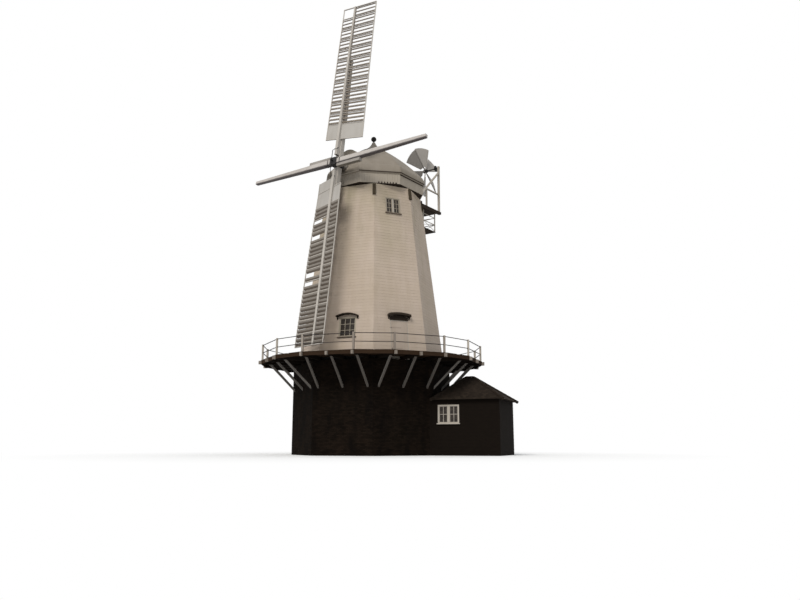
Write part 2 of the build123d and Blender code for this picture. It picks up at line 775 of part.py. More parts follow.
# Curb on the tower's top
with BuildPart() as curb:
    with BuildSketch(Plane.XY.offset(SMOCK_TOP)):
        octagon(SMOCK_TOP_R)
        RegularPolygon(CURB_HOLE_R, CURB_SIDES, mode=Mode.SUBTRACT)
    extrude(amount=CURB_PLATE)
    with BuildSketch(Plane.XY.offset(SMOCK_TOP + CURB_PLATE)):
        Circle(CURB_TRACK_R)
        RegularPolygon(CURB_TRACK_R - CURB_TRACK_W, TRACK_SIDES, mode=Mode.SUBTRACT)
    extrude(amount=CURB_TRACK)
finish(curb, "curb")

# Cap planes: the front looks along the heading
CAP_RIGHT = rightward(CAP_HEADING)
CAP_FRONT = outward(CAP_HEADING)
CAP_FLOOR = Plane(origin=(0, 0, 0), x_dir=CAP_RIGHT, z_dir=(0, 0, 1))
CAP_SIDE = Plane(origin=(0, 0, 0), x_dir=CAP_FRONT * -1, z_dir=CAP_RIGHT)
CAP_FACE = Plane(origin=(0, 0, 0), x_dir=CAP_RIGHT, z_dir=CAP_FRONT)
SHEER_BOTTOM = CAP_SILL_TOP
SHEER_TOP = SHEER_BOTTOM + SHEER_DEPTH

with BuildPart() as cap_sill:
    with BuildSketch(CAP_FLOOR.offset(CAP_SILL_BOTTOM)):
        octagon(PETTICOAT_R - PETTICOAT_BOARD / OCT_COS)
        RegularPolygon(CURB_HOLE_R, CURB_SIDES, mode=Mode.SUBTRACT)
    extrude(amount=CAP_SILL)
finish(cap_sill, "cap_sill")


def sheer_sections():
    with Locations(
        (-FAN_FRAME_HALF_W, SHEER_BOTTOM + SHEER_DEPTH / 2), (FAN_FRAME_HALF_W, SHEER_BOTTOM + SHEER_DEPTH / 2)
    ):
        Rectangle(SHEER_W, SHEER_DEPTH)


with BuildPart() as petticoat:
    with BuildSketch(CAP_FLOOR.offset(PETTICOAT_BOTTOM)):
        octagon(PETTICOAT_R)
        octagon(PETTICOAT_R - PETTICOAT_BOARD / OCT_COS, mode=Mode.SUBTRACT)
    extrude(amount=PETTICOAT_TOP - PETTICOAT_BOTTOM)
    with BuildSketch(CAP_FACE.offset(-PETTICOAT_APOTHEM - PETTICOAT_BOARD)):
        sheer_sections()
    extrude(amount=PETTICOAT_APOTHEM, mode=Mode.SUBTRACT)
finish(petticoat, "petticoat")

with BuildPart() as sheers:
    for side in (-1, 1):
        with BuildSketch(CAP_SIDE.offset(side * FAN_FRAME_HALF_W)):
            Polygon(
                (SHEER_FRONT_IN - PETTICOAT_APOTHEM, SHEER_TOP),
                (SHEER_FRONT_IN - PETTICOAT_APOTHEM, SHEER_BOTTOM),
                (PETTICOAT_APOTHEM + SHEER_DEPTH, SHEER_BOTTOM),
                (FAN_PLATFORM_BACK, SHEER_TOP - SHEER_TAIL_DEPTH),
                (FAN_PLATFORM_BACK, SHEER_TOP),
                align=None,
            )
        extrude(amount=SHEER_W / 2, both=True)
finish(sheers, "sheers")


# Dome: eight bent gores, each the curved profile run along its face and mitred to its neighbours
DOME_EAVE = PETTICOAT_APOTHEM + DOME_EAVE_OUT
DOME_SHOULDER = DOME_EAVE - DOME_SHOULDER_IN


def dome_outline(inset):
    """Points of the dome's profile at an inset: eave, bulge, shoulder, swell and neck."""
    slope = Vector(DOME_SHOULDER - DOME_NECK, DOME_NECK_RISE - DOME_SHOULDER_RISE)
    outwards = Vector(slope.Y, slope.X) / slope.length
    shoulder = Vector(DOME_SHOULDER, PETTICOAT_TOP + DOME_SHOULDER_RISE) - outwards * inset
    neck = Vector(DOME_NECK, PETTICOAT_TOP + DOME_NECK_RISE) - outwards * inset
    swell = (shoulder + neck) / 2 + outwards * DOME_SWELL
    eave = Vector(PETTICOAT_APOTHEM - PETTICOAT_BOARD if inset else DOME_EAVE, PETTICOAT_TOP)
    bulge = Vector(DOME_EAVE - inset - DOME_BULGE_IN, PETTICOAT_TOP + DOME_BULGE_RISE)
    return eave, bulge, shoulder, swell, neck


def one_side(sides, reach, bottom, top):
    """Keeps only the wedge of the open part that one of a number of sides takes up."""
    with BuildSketch(Plane.XY.offset(bottom)) as wedge:
        left = outward(CAP_HEADING - 180 / sides) * reach
        right = outward(CAP_HEADING + 180 / sides) * reach
        Polygon((0, 0), (left.X, left.Y), (right.X, right.Y), align=None)
    extrude(wedge.sketch, amount=top - bottom, mode=Mode.INTERSECT)


DOME_TIP_Z = PETTICOAT_TOP + DOME_TIP_RISE

with BuildPart() as outer_gore:
    eave, bulge, shoulder, swell, neck = dome_outline(0)
    with BuildSketch(sector(CAP_HEADING, 0)):
        with BuildLine():
            ThreePointArc(eave, bulge, shoulder)
            ThreePointArc(shoulder, swell, neck)
            ThreePointArc(neck, (DOME_WAIST, PETTICOAT_TOP + DOME_WAIST_RISE), (DOME_TIP, DOME_TIP_Z))
            Polyline((DOME_TIP, DOME_TIP_Z), (0, DOME_TIP_Z), (0, PETTICOAT_TOP), eave)
        make_face()
    extrude(amount=DOME_EAVE / 2, both=True)
    one_side(SIDES, 2 * DOME_EAVE, PETTICOAT_TOP, DOME_TIP_Z)

with BuildPart() as inner_gore:
    corners = dome_outline(DOME_SKIN)
    with BuildSketch(sector(CAP_HEADING, 0)):
        crown = (0, corners[-1].Y + corners[-1].X * DOME_CROWN_RISE)
        Polygon(*[(corner.X, corner.Y) for corner in corners], crown, (0, PETTICOAT_TOP), align=None)
    extrude(amount=DOME_EAVE / 2, both=True)
    one_side(SIDES, 2 * DOME_EAVE, PETTICOAT_TOP, DOME_TIP_Z)


# Windshaft plane: z forwards along the shaft, y up the sail, origin at the crossing of the stocks
TILT = radians(SHAFT_TILT)
SHAFT_DIR = CAP_FRONT * cos(TILT) + Vector(0, 0, sin(TILT))
SAIL_UP = Vector(0, 0, cos(TILT)) - CAP_FRONT * sin(TILT)
SAIL_RIGHT = CAP_RIGHT * cos(radians(SAIL_TURN)) - SAIL_UP * sin(radians(SAIL_TURN))
HUB = CAP_FRONT * HUB_FRONT + Vector(0, 0, HUB_Z)
SAIL = Plane(origin=HUB, x_dir=SAIL_RIGHT, z_dir=SHAFT_DIR)

DORMER_FRONT = PETTICOAT_APOTHEM - DORMER_FRONT_IN


def dormer_outline(inset):
    """Upright sides under a round top, drawn in by an inset from the dormer's front."""
    half = DORMER_HALF_W - inset
    eave = PETTICOAT_TOP + DORMER_EAVE_RISE
    crown = PETTICOAT_TOP + DORMER_CROWN_RISE - inset
    with BuildSketch(CAP_FACE.offset(DORMER_FRONT - inset)) as outline:
        with BuildLine():
            Line((-half, PETTICOAT_TOP), (half, PETTICOAT_TOP))
            Line((half, PETTICOAT_TOP), (half, eave))
            ThreePointArc((half, eave), (0, crown), (-half, eave))
            Line((-half, eave), (-half, PETTICOAT_TOP))
        make_face()
    return outline.sketch


with BuildPart() as cap_roof:
    with PolarLocations(0, SIDES):
        add(outer_gore.part)
    with PolarLocations(0, SIDES):
        add(inner_gore.part, mode=Mode.SUBTRACT)
    extrude(dormer_outline(DORMER_SKIN), amount=-DORMER_FRONT, mode=Mode.SUBTRACT)
    with BuildSketch(SAIL):
        Circle(SHAFT_R + SHAFT_HOLE_GAP)
    extrude(amount=-3 * POLL_LENGTH, mode=Mode.SUBTRACT)
finish(cap_roof, "cap_roof")

with BuildPart() as cap_front:
    extrude(dormer_outline(0), amount=-DORMER_FRONT)
    extrude(dormer_outline(DORMER_SKIN), amount=-DORMER_FRONT, mode=Mode.SUBTRACT)
    with PolarLocations(0, SIDES):
        add(outer_gore.part, mode=Mode.SUBTRACT)
    with BuildSketch(SAIL):
        Circle(SHAFT_R + SHAFT_HOLE_GAP)
    extrude(amount=-3 * POLL_LENGTH, mode=Mode.SUBTRACT)
finish(cap_front, "cap_front")

# Ball on a stem, in flat facets
FINIAL_Z = DOME_TIP_Z + FINIAL_LIFT

with BuildPart() as finial_side:
    with BuildSketch(sector(CAP_HEADING, 0)):
        ball = [(0, FINIAL_Z + FINIAL_R)]
        for band in range(1, FINIAL_BANDS):
            turn = radians(180 / FINIAL_BANDS * band)
            ball.append((FINIAL_R * sin(turn), FINIAL_Z + FINIAL_R * cos(turn)))
        stem = [(FINIAL_STEM_R, FINIAL_Z - FINIAL_R), (FINIAL_STEM_R, DOME_TIP_Z), (0, DOME_TIP_Z)]
        Polygon(*ball, *stem, align=None)
    extrude(amount=FINIAL_R, both=True)
    one_side(FINIAL_SIDES, 2 * FINIAL_R, DOME_TIP_Z, FINIAL_Z + FINIAL_R)

with BuildPart() as finial:
    with PolarLocations(0, FINIAL_SIDES):
        add(finial_side.part)
finish(finial, "finial")

with BuildPart() as windshaft:
    with BuildSketch(SAIL.offset(-SHAFT_TAIL)):
        Circle(SHAFT_R)
    extrude(amount=SHAFT_TAIL - POLL_LENGTH / 2)
    with BuildSketch(SAIL.offset(-POLL_LENGTH / 2)):
        RectangleRounded(POLL_W, POLL_W, POLL_W / 8)
    extrude(amount=POLL_LENGTH)
    with BuildSketch(SAIL.offset(-STOCK_BACK - STOCK_W / 2)):
        Rectangle(STOCK_W, 2 * POLL_W)
    extrude(amount=STOCK_W, mode=Mode.SUBTRACT)
    with BuildSketch(SAIL.offset(STOCK_BACK - STOCK_W / 2)):
        Rectangle(2 * POLL_W, STOCK_W)
    extrude(amount=STOCK_W, mode=Mode.SUBTRACT)
finish(windshaft, "windshaft")


# Beams across the cap that carry the windshaft in half-round bearings
def shaft_beam(from_hub, bottom, half_span, height):
    """Beam of a width with a block up to the shaft's axis, cut out to the shaft's round."""
    centre = SAIL.offset(-from_hub).origin
    forward = centre.dot(CAP_FRONT)
    with BuildSketch(CAP_FACE.offset(forward - BEAM_W / 2)) as profile:
        with Locations((0, bottom + height / 2)):
            Rectangle(2 * half_span, height)
        with Locations((0, (bottom + centre.Z) / 2)):
            Rectangle(3 * SHAFT_R, centre.Z - bottom)
    extrude(profile.sketch, amount=BEAM_W)
    with BuildSketch(SAIL.offset(-from_hub - BEAM_W)) as bore:
        Circle(SHAFT_R + RUN_GAP)
    extrude(bore.sketch, amount=2 * BEAM_W, mode=Mode.SUBTRACT)


with BuildPart() as weather_beam:
    shaft_beam(NECK_FROM_HUB, SHEER_TOP, FAN_FRAME_HALF_W + SHEER_W / 2, WEATHER_BEAM_H)
finish(weather_beam, "weather_beam")

with BuildPart() as tail_beam:
    shaft_beam(TAIL_BEARING_FROM_HUB, SHEER_BOTTOM, FAN_FRAME_HALF_W - SHEER_W / 2, SHEER_DEPTH)
finish(tail_beam, "tail_beam")


# Stocks
def stock(plane, half, run):
    """Square timber, even through the poll end and tapered to both tips behind a straight front."""
    root = STOCK_W / 2
    tip = STOCK_END_W / 2
    even = POLL_W / 2
    with BuildSketch(Plane(origin=plane.origin, x_dir=run, z_dir=run.cross(plane.z_dir))) as side:
        Polygon(
            (-half, root), (half, root), (half, root - STOCK_END_W),
            (even, -root), (-even, -root), (-half, root - STOCK_END_W),
            align=None,
        )
    extrude(side.sketch, amount=root, both=True)
    with BuildSketch(Plane(origin=plane.origin, x_dir=run, z_dir=plane.z_dir)) as face:
        Polygon(
            (-half, -tip), (-even, -root), (even, -root), (half, -tip),
            (half, tip), (even, root), (-even, root), (-half, tip),
            align=None,
        )
    extrude(face.sketch, amount=STOCK_W, both=True, mode=Mode.INTERSECT)


with BuildPart() as sail_stock:
    stock(SAIL.offset(-STOCK_BACK), SAIL_STOCK_HALF, SAIL.y_dir)
finish(sail_stock, "sail_stock")

with BuildPart() as bare_stock:
    stock(SAIL.offset(STOCK_BACK), BARE_STOCK_HALF, SAIL.x_dir)
finish(bare_stock, "bare_stock")

# Clamps bolted along the bare stock, above it on one arm and below it on the other
with BuildPart() as stock_clamps:
    with BuildSketch(SAIL.offset(STOCK_BACK - CLAMP_DEPTH / 2)):
        for side in (-1, 1):
            edge = side * (STOCK_W + CLAMP_W) / 2
            with Locations((side * (POLL_W + CLAMP_LENGTH) / 2, -edge)):
                Rectangle(CLAMP_LENGTH, CLAMP_W)
    extrude(amount=CLAMP_DEPTH)
finish(stock_clamps, "stock_clamps")

# Patent sails
BAY = (SAIL_R - SHUTTER_R) / BAYS
WHIP_Z = -STOCK_BACK + STOCK_W / 2 + WHIP_DEPTH / 2


def weather(radius):
    """Weather angle of the sail at a radius, in degrees."""
    share = (radius - HEEL_R) / (SAIL_R - HEEL_R)
    return WEATHER_TIP + (WEATHER_HEEL - WEATHER_TIP) * (1 - share) ** WEATHER_POWER


def whip_half(radius):
    return (WHIP_W + (WHIP_TIP_W - WHIP_W) * (radius - WHIP_FOOT) / (SAIL_R - WHIP_FOOT)) / 2


def sail_station(side, radius):
    """Plane across the sail at a radius: x along the chord to the trailing edge, y to the back, z to the tip."""
    angle = radians(weather(max(radius, HEEL_R)))
    trail = SAIL.x_dir * side
    chord = trail * cos(angle) - SAIL.z_dir * sin(angle)
    tip = SAIL.y_dir * side
    origin = SAIL.origin + tip * radius + SAIL.z_dir * WHIP_Z
    return Plane(origin=origin, x_dir=chord, z_dir=tip)


def sail_frame(side):
    """Whip, cross bars and the two edge laths, twisted together along the sail."""
    foot = sail_station(side, WHIP_FOOT)
    square = Plane(origin=foot.origin, x_dir=SAIL.x_dir * side, z_dir=foot.z_dir)
    with BuildSketch(square) as root:
        Rectangle(WHIP_W, WHIP_DEPTH)
    with BuildSketch(square.offset(SAIL_R - WHIP_FOOT)) as tip:
        Rectangle(WHIP_TIP_W, WHIP_TIP_W)
    loft(sections=[root.sketch, tip.sketch], ruled=True)
    for edge in (WIDE_SIDE, -NARROW_SIDE):
        sections = []
        for station in range(WEATHER_STATIONS):
            radius = HEEL_R + (SAIL_R - HEEL_R) * station / (WEATHER_STATIONS - 1)
            with BuildSketch(sail_station(side, radius)) as section:
                with Locations((edge, 0)):
                    Rectangle(HEMLATH_W, HEMLATH_DEPTH)
            sections.append(section.sketch)
        loft(sections=sections, ruled=True)
    stations = [HEEL_R + BAR_W / 2] + [SHUTTER_R + BAY * bay for bay in range(BAYS)] + [SAIL_R - BAR_W / 2]
    for radius in stations:
        plane = sail_station(side, radius)
        with BuildSketch(plane.offset(-BAR_W / 2)) as bar:
            with Locations(((WIDE_SIDE - NARROW_SIDE) / 2, 0)):
                Rectangle(WIDE_SIDE + NARROW_SIDE, BAR_DEPTH)
        extrude(bar.sketch, amount=BAR_W)


with BuildPart() as upper_sail_frame:
    sail_frame(1)
finish(upper_sail_frame, "upper_sail_frame")

with BuildPart() as lower_sail_frame:
    sail_frame(-1)
finish(lower_sail_frame, "lower_sail_frame")

PITCH = BAY / SHUTTERS_PER_BAY


def whip_edge(radius, depth):
    """Distance along the chord at which a board of half this depth passes the whip's corner."""
    angle = radians(weather(radius))
    return whip_half(radius) / cos(angle) + depth * tan(angle) + SHUTTER_SEAT


def shutter(side, radius, wide):
    """One slat from the whip to the edge lath, turned about its long edge."""
    plane = sail_station(side, radius)
    angle = radians(SHUTTER_OPEN)
    near = whip_edge(radius, (PITCH * SHUTTER_OVERLAP * sin(angle) + SHUTTER_THICK * cos(angle)) / 2)
    far = (WIDE_SIDE if wide else NARROW_SIDE) - HEMLATH_W / 2 - SHUTTER_SEAT
    along = (near + far) / 2 if wide else -(near + far) / 2
    flat = plane.z_dir * cos(angle) + plane.y_dir * sin(angle)
    board = Plane(origin=plane.origin + plane.x_dir * along, x_dir=plane.x_dir, z_dir=plane.x_dir.cross(flat))
    with BuildPart() as one:
        with BuildSketch(board):
            Rectangle(far - near, PITCH * SHUTTER_OVERLAP)
        extrude(amount=SHUTTER_THICK / 2, both=True)
    return one.part


def shutters(side, missing_wide, missing_narrow):
    """All slats of a sail, three to a bay, but for the ones that are lost."""
    slats = []
    for row in range(BAYS * SHUTTERS_PER_BAY):
        radius = SHUTTER_R + PITCH * (row + 0.5)
        if row not in missing_wide:
            slats.append(shutter(side, radius, True))
        if row not in missing_narrow:
            slats.append(shutter(side, radius, False))
    return slats


UPPER_SLATS = shutters(1, (), UPPER_LOST_NARROW)
LOWER_SLATS = shutters(-1, LOWER_LOST_WIDE, ())

with BuildPart() as upper_shutters:
    add(UPPER_SLATS)
finish(upper_shutters, "upper_shutters")

with BuildPart() as lower_shutters:
    add(LOWER_SLATS)
finish(lower_shutters, "lower_shutters")


def heel_panel(side, wide):
    """Twisted board that fills one side of a sail between the heel bar and the first bar."""
    sections = []
    for radius in (HEEL_R + BAR_W, SHUTTER_R - BAR_W / 2):
        near = whip_edge(radius, HEEL_BOARD / 2)
        far = (WIDE_SIDE if wide else NARROW_SIDE) - HEMLATH_W / 2 - SHUTTER_SEAT
        along = (near + far) / 2 if wide else -(near + far) / 2
        with BuildSketch(sail_station(side, radius)) as section:
            with Locations((along, 0)):
                Rectangle(far - near, HEEL_BOARD)
        sections.append(section.sketch)
    loft(sections=sections, ruled=True)


with BuildPart() as heel_boards:
    for side in (-1, 1):
        heel_panel(side, True)
        heel_panel(side, False)
finish(heel_boards, "heel_boards")

# Fantail: posts, platform, gallery and fan
PLATFORM_TOP = SHEER_TOP + FAN_PLATFORM_BOARD
PLATFORM_FRONT = PETTICOAT_APOTHEM + FIT
FAN_POST_TOP = FAN_Z + FAN_POST_HEAD

with BuildPart() as fan_platform:
    with BuildSketch(CAP_FLOOR.offset(SHEER_TOP)):
        with Locations((0, (PLATFORM_FRONT + FAN_PLATFORM_BACK) / 2)):
            Rectangle(2 * FAN_FRAME_HALF_W + SHEER_W, FAN_PLATFORM_BACK - PLATFORM_FRONT)
    extrude(amount=FAN_PLATFORM_BOARD)
finish(fan_platform, "fan_platform")

with BuildPart() as fan_frame:
    for side in (-1, 1):
        plane = CAP_SIDE.offset(side * FAN_FRAME_HALF_W)
        with BuildSketch(plane):
            with Locations((FAN_BACK, (PLATFORM_TOP + FAN_POST_TOP) / 2)):
                Rectangle(FAN_POST_W, FAN_POST_TOP - PLATFORM_TOP)
            Polygon(
                (PLATFORM_FRONT + FAN_POST_W, PLATFORM_TOP),
                (PLATFORM_FRONT + 2 * FAN_POST_W, PLATFORM_TOP),
                (FAN_BACK, FAN_Z - FAN_STRUT_DROP),
                (FAN_BACK, FAN_Z - FAN_STRUT_DROP + FAN_POST_W),
                align=None,
            )
            with Locations((FAN_BACK, FAN_Z)):
                Circle(FAN_AXLE_R + RUN_GAP, mode=Mode.SUBTRACT)
        extrude(amount=FAN_POST_W / 2, both=True)
finish(fan_frame, "fan_frame")

FAN = Plane(
    origin=CAP_FRONT * -FAN_BACK + Vector(0, 0, FAN_Z), x_dir=CAP_FRONT * -1, z_dir=CAP_RIGHT
)

with BuildPart() as fan_axle:
    with BuildSketch(FAN):
        Circle(FAN_AXLE_R)
    extrude(amount=FAN_FRAME_HALF_W + FAN_POST_W / 2, both=True)
    with BuildSketch(FAN):
        RegularPolygon(FAN_HUB_R, FAN_BLADES, major_radius=False, rotation=90 + FAN_TURN - 180 / FAN_BLADES)
    extrude(amount=FAN_HUB_W / 2, both=True)
finish(fan_axle, "fan_axle")

# One vane: a board with a rounded end, fixed along its leading edge to an arm
with BuildPart() as fan_blade:
    turn = radians(90 + FAN_TURN)
    pitch = radians(FAN_PITCH)
    run = FAN.x_dir * cos(turn) + FAN.y_dir * sin(turn)
    chord = FAN.z_dir.cross(run) * cos(pitch) - FAN.z_dir * sin(pitch)
    vane = Plane(origin=FAN.origin, x_dir=chord, z_dir=chord.cross(run))
    sweep = asin(FAN_BLADE_TIP_W / FAN_R)
    cuts = [sweep * (1 - cut / FAN_TIP_CUTS) for cut in range(FAN_TIP_CUTS + 1)]
    rim = [(FAN_R * sin(cut), FAN_R * cos(cut)) for cut in cuts]
    with BuildSketch(vane):
        Polygon((0, FAN_BLADE_ROOT_R), (FAN_BLADE_ROOT_W, FAN_BLADE_ROOT_R), *rim, align=None)
    extrude(amount=FAN_BLADE_THICK / 2, both=True)
    with BuildSketch(vane):
        arm_root = FAN_HUB_R + FAN_BLADE_SEAT
        arm_tip = FAN_R - FAN_ARM_SHORT
        with Locations((0, (arm_root + arm_tip) / 2)):
            Rectangle(FAN_ARM_W, arm_tip - arm_root)
    extrude(amount=FAN_ARM_DEPTH / 2, both=True)

with BuildPart() as fan_blades:
    for blade in range(FAN_BLADES):
        add(fan_blade.part.rotate(Axis(FAN.origin, FAN.z_dir), 360 / FAN_BLADES * blade))
finish(fan_blades, "fan_blades")

GALLERY_Z = SHEER_BOTTOM - GALLERY_DROP
GALLERY_FRONT = PETTICOAT_APOTHEM + GALLERY_OUT
GALLERY_BACK = FAN_BACK - GALLERY_IN

with BuildPart() as fan_gallery:
    with BuildSketch(CAP_FLOOR.offset(GALLERY_Z)):
        with Locations((0, (GALLERY_FRONT + GALLERY_BACK) / 2)):
            Rectangle(2 * GALLERY_HALF_W, GALLERY_BACK - GALLERY_FRONT)
    extrude(amount=GALLERY_BOARD)
finish(fan_gallery, "fan_gallery")

with BuildPart() as gallery_hangers:
    with BuildSketch(CAP_FLOOR.offset(GALLERY_Z + GALLERY_BOARD)):
        for side in (-1, 1):
            for back in (GALLERY_FRONT + HANGER_W, GALLERY_BACK - HANGER_W):
                with Locations((side * (GALLERY_HALF_W - HANGER_W / 2), back)):
                    Rectangle(HANGER_W, HANGER_W)
    extrude(amount=SHEER_TOP - GALLERY_Z - GALLERY_BOARD)
finish(gallery_hangers, "gallery_hangers")

# Joint axes, for the record
HINGE_POINT = HINGE_PLANE.from_local_coords(Vector(HINGE_X, DOORWAY_H / 2, HINGE_OUT))
print("sail_spin at", HUB / 1000, "axis", SHAFT_DIR)
print("fan_spin at", FAN.origin / 1000, "axis", FAN.z_dir)
print("stage_door_hinge at", HINGE_POINT / 1000, "axis", HINGE_PLANE.y_dir * -1)
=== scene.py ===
import json
import math
import random

import bmesh
import bpy
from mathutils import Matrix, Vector


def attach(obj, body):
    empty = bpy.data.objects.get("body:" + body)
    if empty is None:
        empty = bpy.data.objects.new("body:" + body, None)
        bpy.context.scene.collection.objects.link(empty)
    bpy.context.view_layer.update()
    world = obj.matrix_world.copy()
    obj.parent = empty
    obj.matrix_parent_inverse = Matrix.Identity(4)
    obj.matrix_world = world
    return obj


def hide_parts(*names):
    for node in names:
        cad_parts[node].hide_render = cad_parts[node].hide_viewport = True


# Looks of a white smock windmill round its CAD model. Metres, +Z up, origin on the mill's vertical
# axis at the ground. An azimuth is counted from -Y towards +X, and the tower's faces look along
# azimuths 0, 45, 90 and so on.

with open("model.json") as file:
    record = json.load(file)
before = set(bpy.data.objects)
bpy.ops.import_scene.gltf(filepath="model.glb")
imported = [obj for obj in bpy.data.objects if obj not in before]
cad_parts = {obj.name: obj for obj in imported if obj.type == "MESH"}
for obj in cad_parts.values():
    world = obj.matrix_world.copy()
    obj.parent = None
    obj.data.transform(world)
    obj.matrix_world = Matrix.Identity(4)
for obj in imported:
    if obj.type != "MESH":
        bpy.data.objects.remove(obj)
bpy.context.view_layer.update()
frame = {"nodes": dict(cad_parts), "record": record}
NODES = frame["nodes"]
SCENE = bpy.context.scene
RANDOM = random.Random(7)

SIDES = 8
OCT = math.radians(180 / SIDES)
COS, SIN, TAN = math.cos(OCT), math.sin(OCT), math.tan(OCT)

# Board backs and paint in front of a surface, and the narrowest row of boards
PROUD = 0.0005
SKIN = 0.002
LEAST_ROW = 0.01

# Tower, as in the CAD model
SMOCK_FOOT_R = 4.405
SMOCK_TOP_R = 3.057
BASE_R = 4.75
BASE_TOP = 5.25
DECK_TOP = 5.5
SMOCK_TOP = 15.8
FOOT_APOTHEM = SMOCK_FOOT_R * COS
TOP_APOTHEM = SMOCK_TOP_R * COS
BASE_APOTHEM = BASE_R * COS
BATTER = math.atan((FOOT_APOTHEM - TOP_APOTHEM) / (SMOCK_TOP - BASE_TOP))
STAGE_WINDOW = {"z": 7.14, "width": 1.05, "height": 1.18}
UPPER_WINDOW = {"z": 14.66, "width": 0.96, "height": 1.02}
DOORWAY = {"width": 1.1, "height": 2.06}
WINDOW_FACES = (0, 4)
DOOR_FACES = (1, 5)

# Boards on the tower
BOARD_SHOW = 0.18
BOARD_FOOT = 0.011
BOARD_HEAD = 0.004
BOARD_BACK = 0.001
FRIEZE_H = 0.15
FRIEZE_BOARD = 0.014
DOOR_HEAD = 0.03
DOOR_HEAD_ARCH = ((1, 0.2), (0.5, 0.26), (0, 0.28), (-0.5, 0.26), (-1, 0.2))
BRACKET = {"foot": 15.22, "top": 15.91, "width": 0.2, "depth": 0.1, "out": 0.03}

# Windows; a depth is the (back, front) of a bar from the wall's surface
FRAME_BAR = 0.06
SASH_BAR = 0.035
GLAZING_BAR = 0.024
MULLION = 0.1
SASH_DEPTH = (-0.0395, -0.012)
UPRIGHT_DEPTH = (-0.0395, -0.018)
LEVEL_DEPTH = (-0.0395, -0.019)
MULLION_DEPTH = (-0.0395, 0.008)

# Stage
DECK_APOTHEM = FOOT_APOTHEM + 2.43
JOIST_FROM_CORNER = 0.196
JOIST_SPACING = SMOCK_FOOT_R * SIN - JOIST_FROM_CORNER
DECK_HALF_SIDE = JOIST_SPACING + 0.13
DECK_BOARD = 0.05
DECK_BOARD_W = 0.15
DECK_BOARD_GAP = 0.006
DECK_CORNER_GAP = 0.0015
DECK_WALL_GAP = 0.028
DECK_TURN = 6.005
JOIST_W = 0.12
JOIST_TAIL = 0.15

# Annexe
ANNEXE_LENGTH = 3.83
ANNEXE_WIDTH = 3.89
ANNEXE_EAVES = 3.05
ANNEXE_RIDGE = 4.415
ANNEXE_OVERHANG = 0.25
ANNEXE_INNER_HIP = 1.5
ANNEXE_OUTER_HIP = 2.12
ANNEXE_WINDOW = {"x": BASE_APOTHEM + 0.96, "z": 2.25, "width": 1.22, "height": 1.04}
ANNEXE_DOOR = {"x": BASE_APOTHEM + 2.512, "width": 0.95, "height": 2.05}
ANNEXE_BOARD_SHOW = 0.2
ANNEXE_BOARD_FOOT = 0.05
HIP_TILE = 0.3
HIP_TILE_R = 0.09
HIP_TILE_TAPER = 0.9

# Cap
CAP_HEADING = math.radians(-16)
CAP_APOTHEM = 3.22 * COS
PETTICOAT_BOTTOM = 16.02
PETTICOAT_TOP = 16.74
CAP_BOARD_W = 0.154
CAP_BOARD = 0.016
CAP_JOINTS = (0.0518, 0.0018)
CAP_BOARD_JOINT = 0.008
CORNICE_OUT = 0.09
CORNICE_PROFILE = ((-0.12, 0.0), (-0.12, 0.05), (-0.04, 0.09), (-0.002, 0.09), (-0.002, 0.0))
# Dark strips painted as shadow over and under the cornice, and notches painted as shadow at the
# board ends
GAP_OUT = 0.05
GAP_EDGE = 0.004
GAPLESS_FACES = (0, 7)
NOTCHED_FACE = 1
NOTCH = {"count": 7, "start": -0.06, "step": 0.175, "half_w": 0.06, "height": 0.122}

# Windshaft, stocks and striking gear
HUB_FRONT = CAP_APOTHEM + 0.645
HUB_Z = 17.23
SHAFT_TILT = math.radians(8.2)
SAIL_TURN = math.radians(0.3)
STOCK_BACK = 0.175
STOCK_W = 0.32
STOCK_TIP_W = 0.2
POLL_W = 0.48
POLL_LENGTH = 0.78
BARE_STOCK_HALF = 6.63
STRAP_PLACES = (-0.62, -0.46, 0.46, 0.62)
STRAP = 0.006
STRAP_W = 0.06
ROD_R = 0.03
ROD_OUT = 0.2
CROSS_OUT = 0.12
CROSS_ARM = 0.66
CRANK_PLACE = 0.95
CRANK_DEPTH = 0.2
CRANK_HALF = 0.16
CRANK_JOINT = 0.1

# Sails
HEEL_R = 1.65
HEEL_INFILL = 0.72
HEEL_INFILL_W = 1.47
HEEL_BATTEN = 0.06
HEEL_WEATHER = math.radians(16)
LEAST_AREA = 0.08
LEAST_DEPTH = 0.1
SHUTTER_BOARD = 0.018
EDGE_SKIN = 0.0015

# Fan and its frame
FAN_BACK = CAP_APOTHEM + 3.125
FAN_Z = 19.8
FAN_FRAME_HALF_W = 1.1
WHEEL_TEETH = 18
WHEEL_R = 0.2
WHEEL_W = 0.05
GALLERY_FLOOR = 15.0453
GALLERY_RAILS = (0.5, 0.98)

# Camera, fitted to the perspective of the photograph
CAMERA_AZIMUTH = math.radians(21.65)
CAMERA_DISTANCE = 44.372
CAMERA_HEIGHT = 0.68
CAMERA_PITCH = 0.1946
CAMERA_YAW = 0.0385

# Floor and light; the floor fades to white between two distances from the mill's axis
FLOOR_REACH = 4000
FLOOR_FADE = (9, 20)
SKY = ((0.93, 0.96, 1, 1), 0.64)
WHITE = ((1, 1, 1, 1), 1)
SUN_AZIMUTH = CAMERA_AZIMUTH - math.radians(25)
SUN_HEIGHT = math.radians(42)


def up(height):
    return Vector((0, 0, height))


def outward(azimuth):
    return Vector((math.sin(azimuth), -math.cos(azimuth), 0))


def rightward(azimuth):
    return Vector((math.cos(azimuth), math.sin(azimuth), 0))


def face_azimuth(face):
    return 2 * OCT * face


def smock_apothem(height):
    return FOOT_APOTHEM - (height - BASE_TOP) * math.tan(BATTER)


class Place:
    """A point with three axes: x to the right, y up the surface and z out of it."""

    def __init__(self, origin, x, z):
        self.origin = Vector(origin)
        self.x = Vector(x).normalized()
        self.z = Vector(z).normalized()
        self.y = self.z.cross(self.x)

    def at(self, x, y, z=0.0):
        return self.origin + self.x * x + self.y * y + self.z * z


